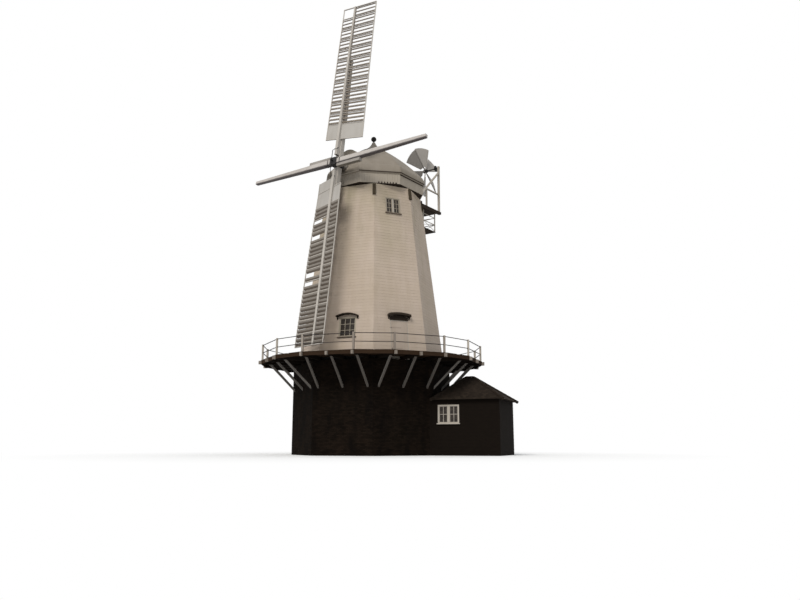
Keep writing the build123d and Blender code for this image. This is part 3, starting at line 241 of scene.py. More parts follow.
def smock_place(face, height):
    """On a leaning face of the tower, at a height on its middle line."""
    azimuth = face_azimuth(face)
    origin = outward(azimuth) * smock_apothem(height) + up(height)
    normal = outward(azimuth) * math.cos(BATTER) + up(math.sin(BATTER))
    return Place(origin, rightward(azimuth), normal)


def upright_place(azimuth, apothem, height=0.0):
    """On an upright face that looks along an azimuth."""
    origin = outward(azimuth) * apothem + up(height)
    return Place(origin, rightward(azimuth), outward(azimuth))


def petticoat_place(face):
    return upright_place(CAP_HEADING + face_azimuth(face), CAP_APOTHEM)


CAP_FRONT = outward(CAP_HEADING)
CAP_RIGHT = rightward(CAP_HEADING)
SHAFT_DIR = CAP_FRONT * math.cos(SHAFT_TILT) + up(math.sin(SHAFT_TILT))
SAIL_UP = up(math.cos(SHAFT_TILT)) - CAP_FRONT * math.sin(SHAFT_TILT)
SAIL_RIGHT = CAP_RIGHT * math.cos(SAIL_TURN) - SAIL_UP * math.sin(SAIL_TURN)
HUB = Place(CAP_FRONT * HUB_FRONT + up(HUB_Z), SAIL_RIGHT, SHAFT_DIR)
FAN = Place(CAP_FRONT * -FAN_BACK + up(FAN_Z), CAP_FRONT * -1, CAP_RIGHT)


# Mesh building
def add_hull(bm, bottom, top, tone=0.5):
    """Closed prism between two loops of the same number of corners."""
    layer = bm.faces.layers.float.get("tone") or bm.faces.layers.float.new("tone")
    low = [bm.verts.new(corner) for corner in bottom]
    high = [bm.verts.new(corner) for corner in top]
    faces = [bm.faces.new(list(reversed(low))), bm.faces.new(high)]
    for side in zip(low, low[1:] + low[:1], high[1:] + high[:1], high):
        faces.append(bm.faces.new(side))
    for face in faces:
        face[layer] = tone


def add_plate(bm, place, outline, z, tone=0.5):
    """Flat shape with an outline of (x, y) corners, between two depths."""
    bottom, top = [[place.at(x, y, depth) for x, y in outline] for depth in z]
    add_hull(bm, bottom, top, tone)


def add_box(bm, place, x, y, z, tone=0.5):
    """Box from three (low, high) pairs along a place's axes."""
    outline = [(x[0], y[0]), (x[1], y[0]), (x[1], y[1]), (x[0], y[1])]
    add_plate(bm, place, outline, z, tone)


def add_bar(bm, start, end, width, depth, facing):
    """Straight bar between two points, its depth along the facing direction."""
    run = end - start
    place = Place(start, run.cross(facing), run)
    half_w, half_d = width / 2, depth / 2
    add_box(bm, place, (-half_w, half_w), (-half_d, half_d), (0, run.length))


def add_round(bm, start, end, radius, sides=12, end_radius=None):
    """Round bar or cone between two points."""
    run = (end - start).normalized()
    side = run.orthogonal().normalized()
    other = run.cross(side)
    tip = radius if end_radius is None else end_radius
    turns = [2 * math.pi * i / sides for i in range(sides)]
    bottom = [start + (side * math.cos(a) + other * math.sin(a)) * radius for a in turns]
    top = [end + (side * math.cos(a) + other * math.sin(a)) * tip for a in turns]
    add_hull(bm, bottom, top)


def add_object(name, data):
    obj = bpy.data.objects.new(name, data)
    SCENE.collection.objects.link(obj)
    return obj


def piece(name, bm, material, body, bevel=0.0):
    """Turn a finished mesh into a piece that rides on a body."""
    bmesh.ops.recalc_face_normals(bm, faces=bm.faces)
    mesh = bpy.data.meshes.new(name)
    bm.to_mesh(mesh)
    bm.free()
    mesh.materials.append(material)
    obj = add_object(name, mesh)
    if bevel:
        soften(obj, bevel)
    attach(obj, body)
    return obj


def soften(obj, width):
    """Small bevels on an object's sharp edges."""
    modifier = obj.modifiers.new("edges", "BEVEL")
    modifier.width = width
    modifier.segments = 1
    modifier.limit_method = "ANGLE"
    modifier.angle_limit = math.radians(50)
    modifier.use_clamp_overlap = True


# Materials
class Shader:
    """A principled material with short ways to add and wire nodes."""

    def __init__(self, name, roughness=0.6, metallic=0.0, gloss=0.35):
        self.material = bpy.data.materials.new(name)
        self.material.use_nodes = True
        self.nodes = self.material.node_tree.nodes
        self.links = self.material.node_tree.links
        self.surface = self.nodes["Principled BSDF"]
        settings = {"Roughness": roughness, "Metallic": metallic, "Specular IOR Level": gloss}
        self.set(self.surface, settings)
        coordinates = self.nodes.new("ShaderNodeTexCoord").outputs
        self.point, self.normal = coordinates["Object"], coordinates["Normal"]
        self.bumped = None

    def wire(self, value, socket):
        if isinstance(value, bpy.types.NodeSocket):
            self.links.new(value, socket)
        elif hasattr(value, "__len__") and len(value) == 3 and len(socket.default_value) == 4:
            socket.default_value = (*value, 1)
        else:
            socket.default_value = value

    def set(self, node, values):
        """Wire values to a node's inputs by their names or numbers."""
        for name, value in values.items():
            self.wire(value, node.inputs[name])

    def add(self, kind, values):
        node = self.nodes.new("ShaderNode" + kind)
        self.set(node, values)
        return node

    def times(self, a, b):
        return self.math("MULTIPLY", a, b)

    def math(self, operation, a, b=0.0, c=0.0):
        node = self.add("Math", {0: a, 1: b, 2: c})
        node.operation = operation
        return node.outputs[0]

    def vector_math(self, operation, a, b=(0, 0, 0)):
        node = self.add("VectorMath", {0: a, 1: b})
        node.operation = operation
        return node.outputs["Value" if operation in ("DOT_PRODUCT", "LENGTH") else "Vector"]

    def split(self, vector):
        return self.add("SeparateXYZ", {0: vector}).outputs

    def join(self, x, y):
        return self.add("CombineXYZ", {0: x, 1: y}).outputs[0]

    def remap(self, value, low, high, to_low=0.0, to_high=1.0):
        ends = {"From Min": low, "From Max": high, "To Min": to_low, "To Max": to_high}
        return self.add("MapRange", {"Value": value, **ends}).outputs[0]

    def noise(self, scale, stretch=(1, 1, 1), detail=4.0, rough=0.55):
        """Noise of a scale per metre, squeezed or drawn out along each axis."""
        place = self.vector_math("MULTIPLY", self.point, stretch)
        values = {"Vector": place, "Scale": scale, "Detail": detail, "Roughness": rough}
        return self.add("TexNoise", values).outputs["Fac"]

    def mix(self, share, a, b):
        node = self.nodes.new("ShaderNodeMix")
        node.data_type = "RGBA"
        self.set(node, {"Factor": share, "A": a, "B": b})
        return node.outputs["Result"]

    def surface_place(self):
        """Distance along the wall, height, and distance from the axis."""
        flat = self.vector_math("MULTIPLY", self.normal, (1, 1, 0))
        out = self.vector_math("NORMALIZE", flat)
        along = self.vector_math("CROSS_PRODUCT", (0, 0, 1), out)
        return (
            self.vector_math("DOT_PRODUCT", self.point, along),
            self.split(self.point)["Z"],
            self.vector_math("DOT_PRODUCT", self.point, out),
        )

    def bump(self, height, distance, strength=1.0):
        node = self.add("Bump", {"Distance": distance, "Strength": strength, "Height": height})
        if self.bumped is not None:
            self.wire(self.bumped, node.inputs["Normal"])
        self.bumped = node.outputs["Normal"]

    def finish(self, colour):
        self.wire(colour, self.surface.inputs["Base Color"])
        if self.bumped is not None:
            self.wire(self.bumped, self.surface.inputs["Normal"])
        return self.material


def groove(shader, place, spacing, width):
    """1 on a board and 0 in the joints between boards of a spacing."""
    share = shader.math("FRACT", shader.math("DIVIDE", place, spacing))
    near = shader.math("MINIMUM", share, shader.math("SUBTRACT", 1.0, share))
    return shader.remap(near, 0.0, width / spacing)


def painted_wood(name, clean, stain, dirt_and_shade, stain_from=0.45, stain_to=0.75):
    """Old paint: stains, runs, dirty specks, painted shade on the undersides and a faint grain."""
    shader = Shader(name, roughness=0.68)
    broad = shader.noise(0.35, detail=5)
    runs = shader.noise(2.6, (1, 1, 0.12), detail=6)
    specks = shader.noise(9.0, (1, 1, 0.35), detail=8, rough=0.7)
    stained = shader.math("MULTIPLY_ADD", broad, 0.6, shader.times(runs, 0.5))
    colour = shader.mix(shader.remap(stained, stain_from, stain_to), clean, stain)
    colour = shader.mix(shader.remap(specks, 0.6, 0.78, 0.0, 0.45), colour, dirt_and_shade)
    # Painted shade on faces that look down, in the same dark colour as the dirt specks.
    downward = shader.times(shader.split(shader.normal)["Z"], -1.0)
    under = shader.times(shader.remap(downward, 0.05, 0.55), 0.85)
    colour = shader.mix(under, colour, dirt_and_shade)
    shader.bump(shader.noise(60.0, (1, 1, 0.2)), 0.002, 0.5)
    return shader, colour


def weatherboard_material():
    """Boards of the tower: clean by the stage, yellower with olive stains higher up, with painted
    shade below the deck.
    """
    clean, stain, dirt_and_shade = (0.405, 0.332, 0.27), (0.35, 0.282, 0.216), (0.16, 0.125, 0.085)
    yellow, olive, brown = (0.278, 0.238, 0.156), (0.18, 0.158, 0.088), (0.22, 0.18, 0.14)
    near_black = (0.008, 0.006, 0.005)
    shader, colour = painted_wood("weatherboard_paint", clean, stain, dirt_and_shade)
    tone = shader.nodes.new("ShaderNodeAttribute")
    tone.attribute_name = "tone"
    _, height, _ = shader.surface_place()
    high = shader.remap(height, 6.5, 15.0)
    patch = shader.remap(shader.noise(0.5, (1, 1, 0.55), detail=6), 0.4, 0.66)
    yellowed = shader.times(shader.times(high, patch), 0.7)
    colour = shader.mix(yellowed, colour, yellow)
    mossy = shader.remap(shader.noise(0.85, (1, 1, 0.3), detail=7), 0.56, 0.75, 0.0, 0.6)
    colour = shader.mix(shader.times(mossy, high), colour, olive)
    colour = shader.mix(shader.remap(tone.outputs["Fac"], 0.0, 1.0, 0.0, 0.12), colour, brown)
    # Painted shade under the stage: the wall below the deck is near black.
    below_deck = shader.math("LESS_THAN", height, DECK_TOP - 0.03)
    return shader.finish(shader.mix(below_deck, colour, near_black))


def from_hub(shader):
    """Place in the sails' axes: along the bare stock, up the sail, out of the hub."""
    local = shader.vector_math("SUBTRACT", shader.point, tuple(HUB.origin))
    axes = [tuple(axis) for axis in (HUB.x, HUB.y, HUB.z)]
    return [shader.vector_math("DOT_PRODUCT", local, axis) for axis in axes]


def cap_material(name, clean, stain, dirt_and_shade, joint, grease):
    """Boards that taper towards the finial, greasy under the windshaft."""
    shader, colour = painted_wood(name, clean, stain, dirt_and_shade, 0.4, 0.7)
    along, _, out = shader.surface_place()
    fan = shader.math("DIVIDE", along, shader.math("MAXIMUM", out, 0.2))
    boards = groove(shader, fan, *CAP_JOINTS)
    colour = shader.mix(shader.remap(boards, 0.0, 1.0, joint, 0.0), colour, dirt_and_shade)
    across, above, _ = from_hub(shader)
    squares = [shader.times(side, side) for side in (across, above)]
    distance = shader.math("SQRT", shader.math("ADD", *squares))
    patchy = shader.remap(shader.noise(1.8, detail=7), 0.4, 0.62)
    below = shader.times(shader.remap(above, -0.3, 0.4, grease, 0.0), patchy)
    greasy = shader.times(shader.remap(distance, 0.7, 2.1, 1.0, 0.0), below)
    colour = shader.mix(greasy, colour, dirt_and_shade)
    pale = [c * 1.45 for c in clean]
    colour = shader.mix(shader.remap(out, 0.35, 0.85, 0.75, 0.0), colour, pale)
    shader.bump(boards, 0.002)
    return shader.finish(colour)


def painted_timber(name, clean, stain, dirt_and_shade=(0.1, 0.085, 0.065), stain_from=0.42, stain_to=0.72):
    """Painted timber without joints."""
    shader, colour = painted_wood(name, clean, stain, dirt_and_shade, stain_from, stain_to)
    return shader.finish(colour)


def bare_stock_material():
    """White paint, with painted shade along the stock's lower edge."""
    clean, stain, stock_specks_and_shade = (0.4, 0.372, 0.345), (0.33, 0.3, 0.275), (0.06, 0.05, 0.05)
    shader, colour = painted_wood("bare_stock_paint", clean, stain, stock_specks_and_shade)
    # Painted shade: a ragged dark band along the lower edge of the stock.
    across, above, _ = from_hub(shader)
    across = shader.math("ABSOLUTE", across)
    reach = shader.remap(across, POLL_W / 2, BARE_STOCK_HALF, STOCK_W / 2, STOCK_TIP_W / 2)
    low = shader.math("ADD", above, reach)
    ragged_shade_line = shader.math("MULTIPLY_ADD", shader.noise(3.0, detail=6), 0.05, low)
    return shader.finish(shader.mix(shader.remap(ragged_shade_line, 0.065, 0.1, 0.9, 0.0), colour, stock_specks_and_shade))


def post_material():
    """Rail posts: white, with painted shade on the posts of the stage's side towards the camera.
    """
    colours = ((0.38, 0.345, 0.3), (0.29, 0.255, 0.21), (0.1, 0.085, 0.065))
    shader, colour = painted_wood("post_paint", *colours)
    toward_camera = tuple(outward(OCT))
    ahead = shader.vector_math("DOT_PRODUCT", shader.point, toward_camera)
    # Painted shade on the posts towards the camera, which show their shaded side.
    tone_shift = shader.remap(ahead, 4.0, 6.0, 0.0, 0.9)
    return shader.finish(shader.mix(tone_shift, colour, (0.155, 0.128, 0.105)))


def window_paint_material():
    """Upper and stage window frames in paint as dull as the wall, with dark sills."""
    colours = ((0.3, 0.262, 0.205), (0.23, 0.195, 0.145), (0.1, 0.08, 0.055))
    shader, colour = painted_wood("window_paint", *colours)
    _, height, _ = shader.surface_place()
    sills = [
        shader.math("COMPARE", height, window["z"] - window["height"] / 2 - 0.05, 0.09)
        for window in (UPPER_WINDOW, STAGE_WINDOW)
    ]
    return shader.finish(shader.mix(shader.math("MAXIMUM", *sills), colour, (0.085, 0.062, 0.044)))


def slat_material():
    """Slats of the sails: grey paint with bare brown wood showing through in places; the dark tone
    is partly dirt and partly painted shade.
    """
    colours = ((0.2, 0.172, 0.14), (0.15, 0.122, 0.092), (0.06, 0.044, 0.032))
    shader, colour = painted_wood("slat_paint_and_shade", *colours)
    bare = shader.remap(shader.noise(1.4, (1, 1, 3.0), detail=7, rough=0.65), 0.48, 0.7, 0.0, 0.6)
    return shader.finish(shader.mix(bare, colour, (0.105, 0.08, 0.056)))


def dark_timber(name, low, high):
    """Tarred or bare weathered timber between two tones, with pale specks."""
    shader = Shader(name, roughness=0.85, gloss=0.04)
    grain = shader.noise(3.0, (1, 1, 4), detail=8)
    fine = shader.noise(36.0, detail=6)
    colour = shader.mix(grain, low, high)
    pale = [c * 1.8 for c in high]
    colour = shader.mix(shader.remap(fine, 0.55, 0.8, 0.0, 0.5), colour, pale)
    shader.bump(fine, 0.003)
    return shader.finish(colour)


def brick_material():
    """Tarred brickwork in courses of 75 mm, wearing to brown in places."""
    shader = Shader("tarred_brick", roughness=0.9, gloss=0.02)
    along, height, _ = shader.surface_place()
    bricks = shader.add("TexBrick", {
        "Vector": shader.join(along, height), "Scale": 1.0, "Brick Width": 0.225,
        "Row Height": 0.075, "Mortar Size": 0.005, "Mortar Smooth": 0.3,
        "Color1": (0.005, 0.0036, 0.0026), "Color2": (0.011, 0.0074, 0.0052),
        "Mortar": (0.0024, 0.002, 0.0017),
    })
    tone_shift = shader.remap(shader.noise(0.8, detail=8, rough=0.65), 0.52, 0.74, 0.0, 0.7)
    colour = shader.mix(tone_shift, bricks.outputs["Color"], (0.0165, 0.0105, 0.007))
    # Patches of tar, near black.
    near_black = shader.remap(shader.noise(1.7, (1, 1, 0.3), detail=6), 0.45, 0.7, 0.0, 0.8)
    colour = shader.mix(near_black, colour, (0.0028, 0.0024, 0.0022))
    shader.bump(shader.math("SUBTRACT", 1.0, bricks.outputs["Fac"]), 0.008)
    shader.bump(shader.noise(45.0), 0.003)
    return shader.finish(colour)


def tile_material():
    """Plain tiles in courses of 85 mm, each row lapping the one below."""
    shader = Shader("roof_tiles", roughness=0.9, gloss=0.03)
    along, height, _ = shader.surface_place()
    row = shader.math("DIVIDE", height, 0.085)
    step = shader.math("FRACT", row)
    offset = shader.times(shader.math("FLOOR", row), 0.5)
    column = shader.math("ADD", shader.math("DIVIDE", along, 0.17), offset)
    joint = groove(shader, column, 1.0, 0.04)
    tile = shader.join(shader.math("FLOOR", column), shader.math("FLOOR", row))
    cell = shader.add("TexWhiteNoise", {"Vector": tile}).outputs["Value"]
    colour = shader.mix(cell, (0.015, 0.0112, 0.0085), (0.027, 0.02, 0.015))
    lichen = shader.remap(shader.noise(2.2, detail=9, rough=0.7), 0.56, 0.72, 0.0, 0.5)
    colour = shader.mix(lichen, colour, (0.036, 0.029, 0.02))
    shade = (0.006, 0.005, 0.0045)
    colour = shader.mix(shader.remap(joint, 0.0, 1.0, 0.75, 0.0), colour, shade)
    colour = shader.mix(shader.remap(step, 0.0, 0.14, 0.65, 0.0), colour, shade)
    shader.bump(shader.math("SUBTRACT", 1.0, step), 0.02)
    shader.bump(joint, 0.006)
    return shader.finish(colour)


def planked_door_material():
    """Doors of upright planks in the tower's paint."""
    colours = ((0.36, 0.298, 0.245), (0.3, 0.245, 0.195), (0.15, 0.12, 0.09))
    shader, colour = painted_wood("door_paint", *colours)
    along, _, _ = shader.surface_place()
    planks = groove(shader, along, 0.142, 0.003)
    colour = shader.mix(shader.remap(planks, 0.0, 1.0, 0.4, 0.0), colour, (0.13, 0.1, 0.075))
    shader.bump(planks, 0.004)
    return shader.finish(colour)


def iron_material():
    """Dark iron with patches of rust."""
    shader = Shader("iron", roughness=0.55, metallic=0.2, gloss=0.2)
    rust = shader.remap(shader.noise(5.0, detail=9, rough=0.7), 0.52, 0.75)
    shader.bump(shader.noise(30.0), 0.002)
    return shader.finish(shader.mix(rust, (0.012, 0.011, 0.011), (0.04, 0.022, 0.014)))


def shaft_material():
    """Black iron poll end, with a neck and body in old grey paint behind it."""
    colours = ((0.22, 0.2, 0.175), (0.16, 0.14, 0.115), (0.05, 0.04, 0.03))
    shader, colour = painted_wood("shaft_paint", *colours)
    _, _, ahead = from_hub(shader)
    poll = shader.math("GREATER_THAN", ahead, -POLL_LENGTH / 2 - 0.02)
    return shader.finish(shader.mix(poll, colour, (0.012, 0.011, 0.011)))


def glass_material():
    """Old panes, dark from the unlit room behind, with a slight waviness."""
    shader = Shader("window_glass", roughness=0.2, gloss=0.18)
    shader.bump(shader.noise(3.0, detail=1), 0.01, 0.4)
    dust = shader.remap(shader.noise(6.0, detail=7), 0.45, 0.8, 0.0, 0.6)
    return shader.finish(shader.mix(dust, (0.022, 0.018, 0.015), (0.075, 0.06, 0.048)))


def concrete_material():
    """Plain concrete with broad blotches."""
    shader = Shader("concrete", roughness=0.9)
    blotch = shader.noise(1.5, detail=8)
    shader.bump(shader.noise(40.0), 0.003)
    return shader.finish(shader.mix(blotch, (0.2, 0.185, 0.165), (0.3, 0.28, 0.255)))


WEATHERBOARD = weatherboard_material()
CAP_PAINT = cap_material(
    "cap_paint", (0.205, 0.178, 0.146), (0.165, 0.14, 0.108), (0.075, 0.06, 0.042), 0.2, 0.85
)
SKIRT_PAINT = cap_material(
    "skirt_paint", (0.29, 0.255, 0.212), (0.245, 0.212, 0.168), (0.1, 0.08, 0.055), 0.16, 0.15
)
WHITE_TIMBER = painted_timber("white_timber", (0.38, 0.345, 0.3), (0.29, 0.255, 0.21))
# White paint dulled to grey as painted shade on the braces under the stage.
BRACE_PAINT_IN_SHADE = painted_timber(
    "brace_paint_in_shade", (0.175, 0.158, 0.14), (0.12, 0.106, 0.092), (0.055, 0.045, 0.037)
)
END_PAINT = painted_timber(
    "end_paint", (0.205, 0.176, 0.148), (0.14, 0.115, 0.092), (0.07, 0.054, 0.042)
)
POST_PAINT_AND_SHADE = post_material()
SAIL_TIMBER = painted_timber(
    "sail_timber", (0.385, 0.358, 0.325), (0.305, 0.278, 0.245), (0.085, 0.07, 0.062)
)
BARE_STOCK_PAINT_AND_SHADE = bare_stock_material()
HEEL_PAINT = painted_timber("heel_paint", (0.345, 0.327, 0.303), (0.285, 0.265, 0.237))
VANE_PAINT = painted_timber(
    "vane_paint", (0.29, 0.268, 0.243), (0.245, 0.222, 0.195), (0.14, 0.125, 0.108)
)
CLAMP_PAINT = painted_timber("clamp_paint", (0.255, 0.235, 0.212), (0.19, 0.17, 0.15))
WINDOW_PAINT = window_paint_material()
SLAT_PAINT_AND_SHADE = slat_material()
# Painted highlight: the lit front edges of the lower sail's slats.
SLAT_EDGE_HIGHLIGHT = painted_timber(
    "slat_edge_highlight", (0.34, 0.308, 0.272), (0.25, 0.22, 0.185), (0.2, 0.175, 0.15)
)
STAGE_TIMBER = dark_timber("stage_timber", (0.016, 0.009, 0.0052), (0.032, 0.019, 0.0115))
# Stage timber made darker as painted shade on the joists under the deck.
JOIST_TIMBER_IN_SHADE = dark_timber("joist_timber_in_shade", (0.006, 0.0042, 0.0032), (0.0125, 0.009, 0.0066))
DARK_BOARD = dark_timber("dark_board", (0.0036, 0.0026, 0.002), (0.0085, 0.006, 0.0042))
HOOD_PAINT = dark_timber("hood_paint", (0.018, 0.013, 0.0095), (0.037, 0.028, 0.021))
# Dark timber of the sheers and fan platform, darkened further as painted shade under the platform;
# it also colours the painted shadows at the cornice.
CAP_TIMBER_AND_SHADE = dark_timber("cap_timber", (0.018, 0.013, 0.01), (0.04, 0.03, 0.0235))
BRACKET_PAINT = dark_timber("bracket_paint", (0.03, 0.0235, 0.015), (0.06, 0.047, 0.031))
FLOOR_TIMBER = dark_timber("floor_timber", (0.11, 0.075, 0.048), (0.22, 0.16, 0.105))
BRICK = brick_material()
TILE = tile_material()
DOOR_PAINT = planked_door_material()
IRON = iron_material()
STRAP_PAINT = painted_timber(
    "strap_paint", (0.3, 0.248, 0.205), (0.25, 0.2, 0.16), (0.09, 0.05, 0.03), 0.45, 0.75
)
SHAFT_PAINT = shaft_material()
GLASS = glass_material()
CONCRETE = concrete_material()

SLOT_MATERIALS = {
    "tarred_brick": BRICK, "weatherboard": WEATHERBOARD, "cap_boards": CAP_PAINT,
    "white_timber": WHITE_TIMBER, "floor_timber": FLOOR_TIMBER, "stage_timber": STAGE_TIMBER,
    "sail_timber": SAIL_TIMBER, "shutter_board": SLAT_PAINT_AND_SHADE, "iron": IRON,
    "pane": GLASS, "door_paint": DOOR_PAINT, "roof_tile": TILE,
    "dark_board": DARK_BOARD, "concrete": CONCRETE, "cap_timber": CAP_TIMBER_AND_SHADE,
}

NODE_MATERIALS = {
    "petticoat": SKIRT_PAINT, "cap_front": SKIRT_PAINT, "heel_boards": HEEL_PAINT,
    "fan_blades": VANE_PAINT, "stage_braces": BRACE_PAINT_IN_SHADE, "window_hoods": HOOD_PAINT,
    "door_straps": STRAP_PAINT, "windshaft": SHAFT_PAINT, "bare_stock": BARE_STOCK_PAINT_AND_SHADE,
    "upper_windows": WINDOW_PAINT, "stage_windows": WINDOW_PAINT, "stage_joists": JOIST_TIMBER_IN_SHADE,
    "rail_posts": POST_PAINT_AND_SHADE, "sheers": CAP_TIMBER_AND_SHADE, "stock_clamps": CLAMP_PAINT,
}

SOFT_EDGES = {
    "stage_braces": 0.008, "stage_joists": 0.008, "rail_posts": 0.008, "stage_rails": 0.005,
    "sail_stock": 0.012, "bare_stock": 0.012, "fan_frame": 0.008, "gallery_hangers": 0.005,
    "sheers": 0.01, "windshaft": 0.01, "stage_windows": 0.004, "upper_windows": 0.004,
    "annexe_window": 0.004, "stage_door": 0.004,
}


def dress_cad():
    """Materials and soft edges for the pieces of the CAD model."""
    for entry in frame["record"]["subparts"]:
        name = entry["node"]
        material = NODE_MATERIALS.get(name, SLOT_MATERIALS[entry["material_slot"]])
        NODES[name].data.materials.clear()
        NODES[name].data.materials.append(material)
    for name, width in SOFT_EDGES.items():
        soften(NODES[name], width)


# Lapped boards
def spans_without(low, high, holes):
    """Parts of a stretch that no hole covers."""
    spans = [(low, high)]
    for left, right in holes:
        kept = []
        for a, b in spans:
            if right <= a or left >= b:
                kept.append((a, b))
            else:
                kept += [span for span in ((a, left), (right, b)) if span[0] < span[1]]
        spans = kept
    return spans


def lap_boards(bm, place, left, right, bottom, top, openings, mitre, show=BOARD_SHOW):
    """Wedge-shaped boards up a wall; left and right give its edges at a height."""
    row_start = bottom
    while row_start < top - LEAST_ROW:
        row_end = min(row_start + show, top)
        cuts = {row_start, row_end}
        cuts.update(y for hole in openings for y in hole[2:] if row_start < y < row_end)
        levels = sorted(cuts)
        tone = RANDOM.random()
        for y0, y1 in zip(levels, levels[1:]):
            lift0 = BOARD_FOOT + (BOARD_HEAD - BOARD_FOOT) * (y0 - row_start) / show
            lift1 = BOARD_FOOT + (BOARD_HEAD - BOARD_FOOT) * (y1 - row_start) / show
            middle = (y0 + y1) / 2
            holes = [hole[:2] for hole in openings if hole[2] < middle < hole[3]]
            for a, b in spans_without(left(middle), right(middle), holes):

                def corner(x, y, lift, edge, side):
                    if abs(x - edge(middle)) < 1e-6:
                        x = edge(y) + lift * mitre * side
                    return place.at(x, y, lift)

                def loop(low_lift, high_lift):
                    return [
                        corner(a, y0, low_lift, left, -1), corner(b, y0, low_lift, right, 1),
                        corner(b, y1, high_lift, right, 1), corner(a, y1, high_lift, left, -1),
                    ]

                add_hull(bm, loop(BOARD_BACK, BOARD_BACK), loop(lift0, lift1), tone)
        row_start = row_end


def opening(centre_x, low_y, width, height):
    return (centre_x - width / 2, centre_x + width / 2, low_y, low_y + height)


def window_opening(window, x, y):
    """Opening for a window whose middle is at a place on the wall."""
    return opening(x, y - window["height"] / 2, window["width"], window["height"])


def make_tower_boards():
    """Boards on the leaning faces, cut round the windows and the stage doors."""
    slope = math.cos(BATTER)

    def up_face(height):
        return (height - BASE_TOP) / slope

    def half(y):
        return smock_apothem(BASE_TOP + y * slope) * TAN

    bm = bmesh.new()
    for face in range(SIDES):
        openings = []
        if face in WINDOW_FACES:
            openings.append(window_opening(STAGE_WINDOW, 0, up_face(STAGE_WINDOW["z"])))
        if face in DOOR_FACES:
            low, extra = up_face(DECK_TOP), 0.1
            doorway = opening(0, low - extra, DOORWAY["width"], DOORWAY["height"] + extra)
            openings += [doorway, window_opening(UPPER_WINDOW, 0, up_face(UPPER_WINDOW["z"]))]
        lap_boards(
            bm, smock_place(face, BASE_TOP), lambda y: -half(y), half, up_face(DECK_TOP + 0.002),
            up_face(SMOCK_TOP - 0.005), openings, TAN,
        )
    piece("tower_boards", bm, WEATHERBOARD, "tower")


# Windows
def glazing(bm, mullions, place, window, columns, rows, lights=1):
    """Mullions between the lights, and a sash with thin bars for each."""
    inner_w = window["width"] - 2 * FRAME_BAR
    inner_h = window["height"] - 2 * FRAME_BAR
    light = inner_w / lights
    half_h, half_m, half_bar = inner_h / 2, MULLION / 2, GLAZING_BAR / 2
    tall = (-half_h, half_h)
    for i in range(1, lights):
        x = -inner_w / 2 + light * i
        add_box(mullions, place, (x - half_m, x + half_m), tall, MULLION_DEPTH)
    for i in range(lights):
        x0 = -inner_w / 2 + light * i + (half_m if i else 0)
        x1 = -inner_w / 2 + light * (i + 1) - (half_m if i < lights - 1 else 0)
        wide = (x0 + SASH_BAR, x1 - SASH_BAR)
        sash = [
            ((x0, x0 + SASH_BAR), tall), ((x1 - SASH_BAR, x1), tall),
            (wide, (-half_h, -half_h + SASH_BAR)), (wide, (half_h - SASH_BAR, half_h)),
        ]
        for x, y in sash:
            add_box(bm, place, x, y, SASH_DEPTH)
        panes = (-half_h + SASH_BAR, half_h - SASH_BAR)
        for column in range(1, columns):
            x = x0 + (x1 - x0) * column / columns
            add_box(bm, place, (x - half_bar, x + half_bar), panes, UPRIGHT_DEPTH)
        for row in range(1, rows):
            y = -half_h + inner_h * row / rows
            add_box(bm, place, wide, (y - half_bar, y + half_bar), LEVEL_DEPTH)


def make_windows():
    """Glazing bars and mullions of the stage, upper and annexe windows."""
    bm, mullions = bmesh.new(), bmesh.new()
    for face in WINDOW_FACES:
        glazing(bm, mullions, smock_place(face, STAGE_WINDOW["z"]), STAGE_WINDOW, 3, 3)
    for face in DOOR_FACES:
        glazing(bm, mullions, smock_place(face, UPPER_WINDOW["z"]), UPPER_WINDOW, 2, 3, 2)
    piece("tower_glazing_bars", bm, WINDOW_PAINT, "tower")
    bm = bmesh.new()
    middle = (ANNEXE_WINDOW["x"], -ANNEXE_WIDTH / 2, ANNEXE_WINDOW["z"])
    glazing(bm, mullions, Place(middle, (1, 0, 0), (0, -1, 0)), ANNEXE_WINDOW, 2, 2, 2)
    piece("annexe_glazing_bars", bm, WHITE_TIMBER, "tower")
    piece("window_mullions", mullions, WHITE_TIMBER, "tower")


# Stage
def make_deck():
    """Boards round the tower, parallel to each side and cut on the corner lines."""
    bm = bmesh.new()
    rim = DECK_APOTHEM * COS + DECK_HALF_SIDE * SIN
    inner = smock_apothem(DECK_TOP) + DECK_WALL_GAP

    def half(apothem):
        to_corner = apothem * TAN - DECK_CORNER_GAP
        to_rim = (rim - apothem * COS) / SIN
        return min(to_corner, to_rim)

    for face in range(SIDES):
        azimuth = face_azimuth(face)
        place = Place((0, 0, DECK_TOP - DECK_BOARD), rightward(azimuth), (0, 0, 1))
        near = inner
        while near < DECK_APOTHEM - LEAST_ROW:
            far = min(near + DECK_BOARD_W, DECK_APOTHEM)
            edge = far - DECK_BOARD_GAP
            stops = [near] + ([DECK_TURN] if near < DECK_TURN < edge else []) + [edge]
            corners = [(half(a), -a) for a in stops] + [(-half(a), -a) for a in reversed(stops)]
            add_plate(bm, place, corners, (0, DECK_BOARD), RANDOM.random())
            near = far
    deck = piece("deck_boards", bm, STAGE_TIMBER, "tower")
    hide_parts("stage_deck")


def make_joist_ends():
    """Pale paint on the joist ends that stand out from the stage's edge."""
    bm = bmesh.new()
    half = JOIST_W / 2 + SKIN
    upright = (-SKIN, DECK_TOP - DECK_BOARD - BASE_TOP + SKIN)
    for face in range(SIDES):
        place = upright_place(face_azimuth(face), DECK_APOTHEM, BASE_TOP)
        for lane in (-JOIST_SPACING, 0, JOIST_SPACING):
            add_box(bm, place, (lane - half, lane + half), upright, (SKIN, JOIST_TAIL + SKIN))
    piece("joist_ends", bm, END_PAINT, "tower", bevel=0.006)


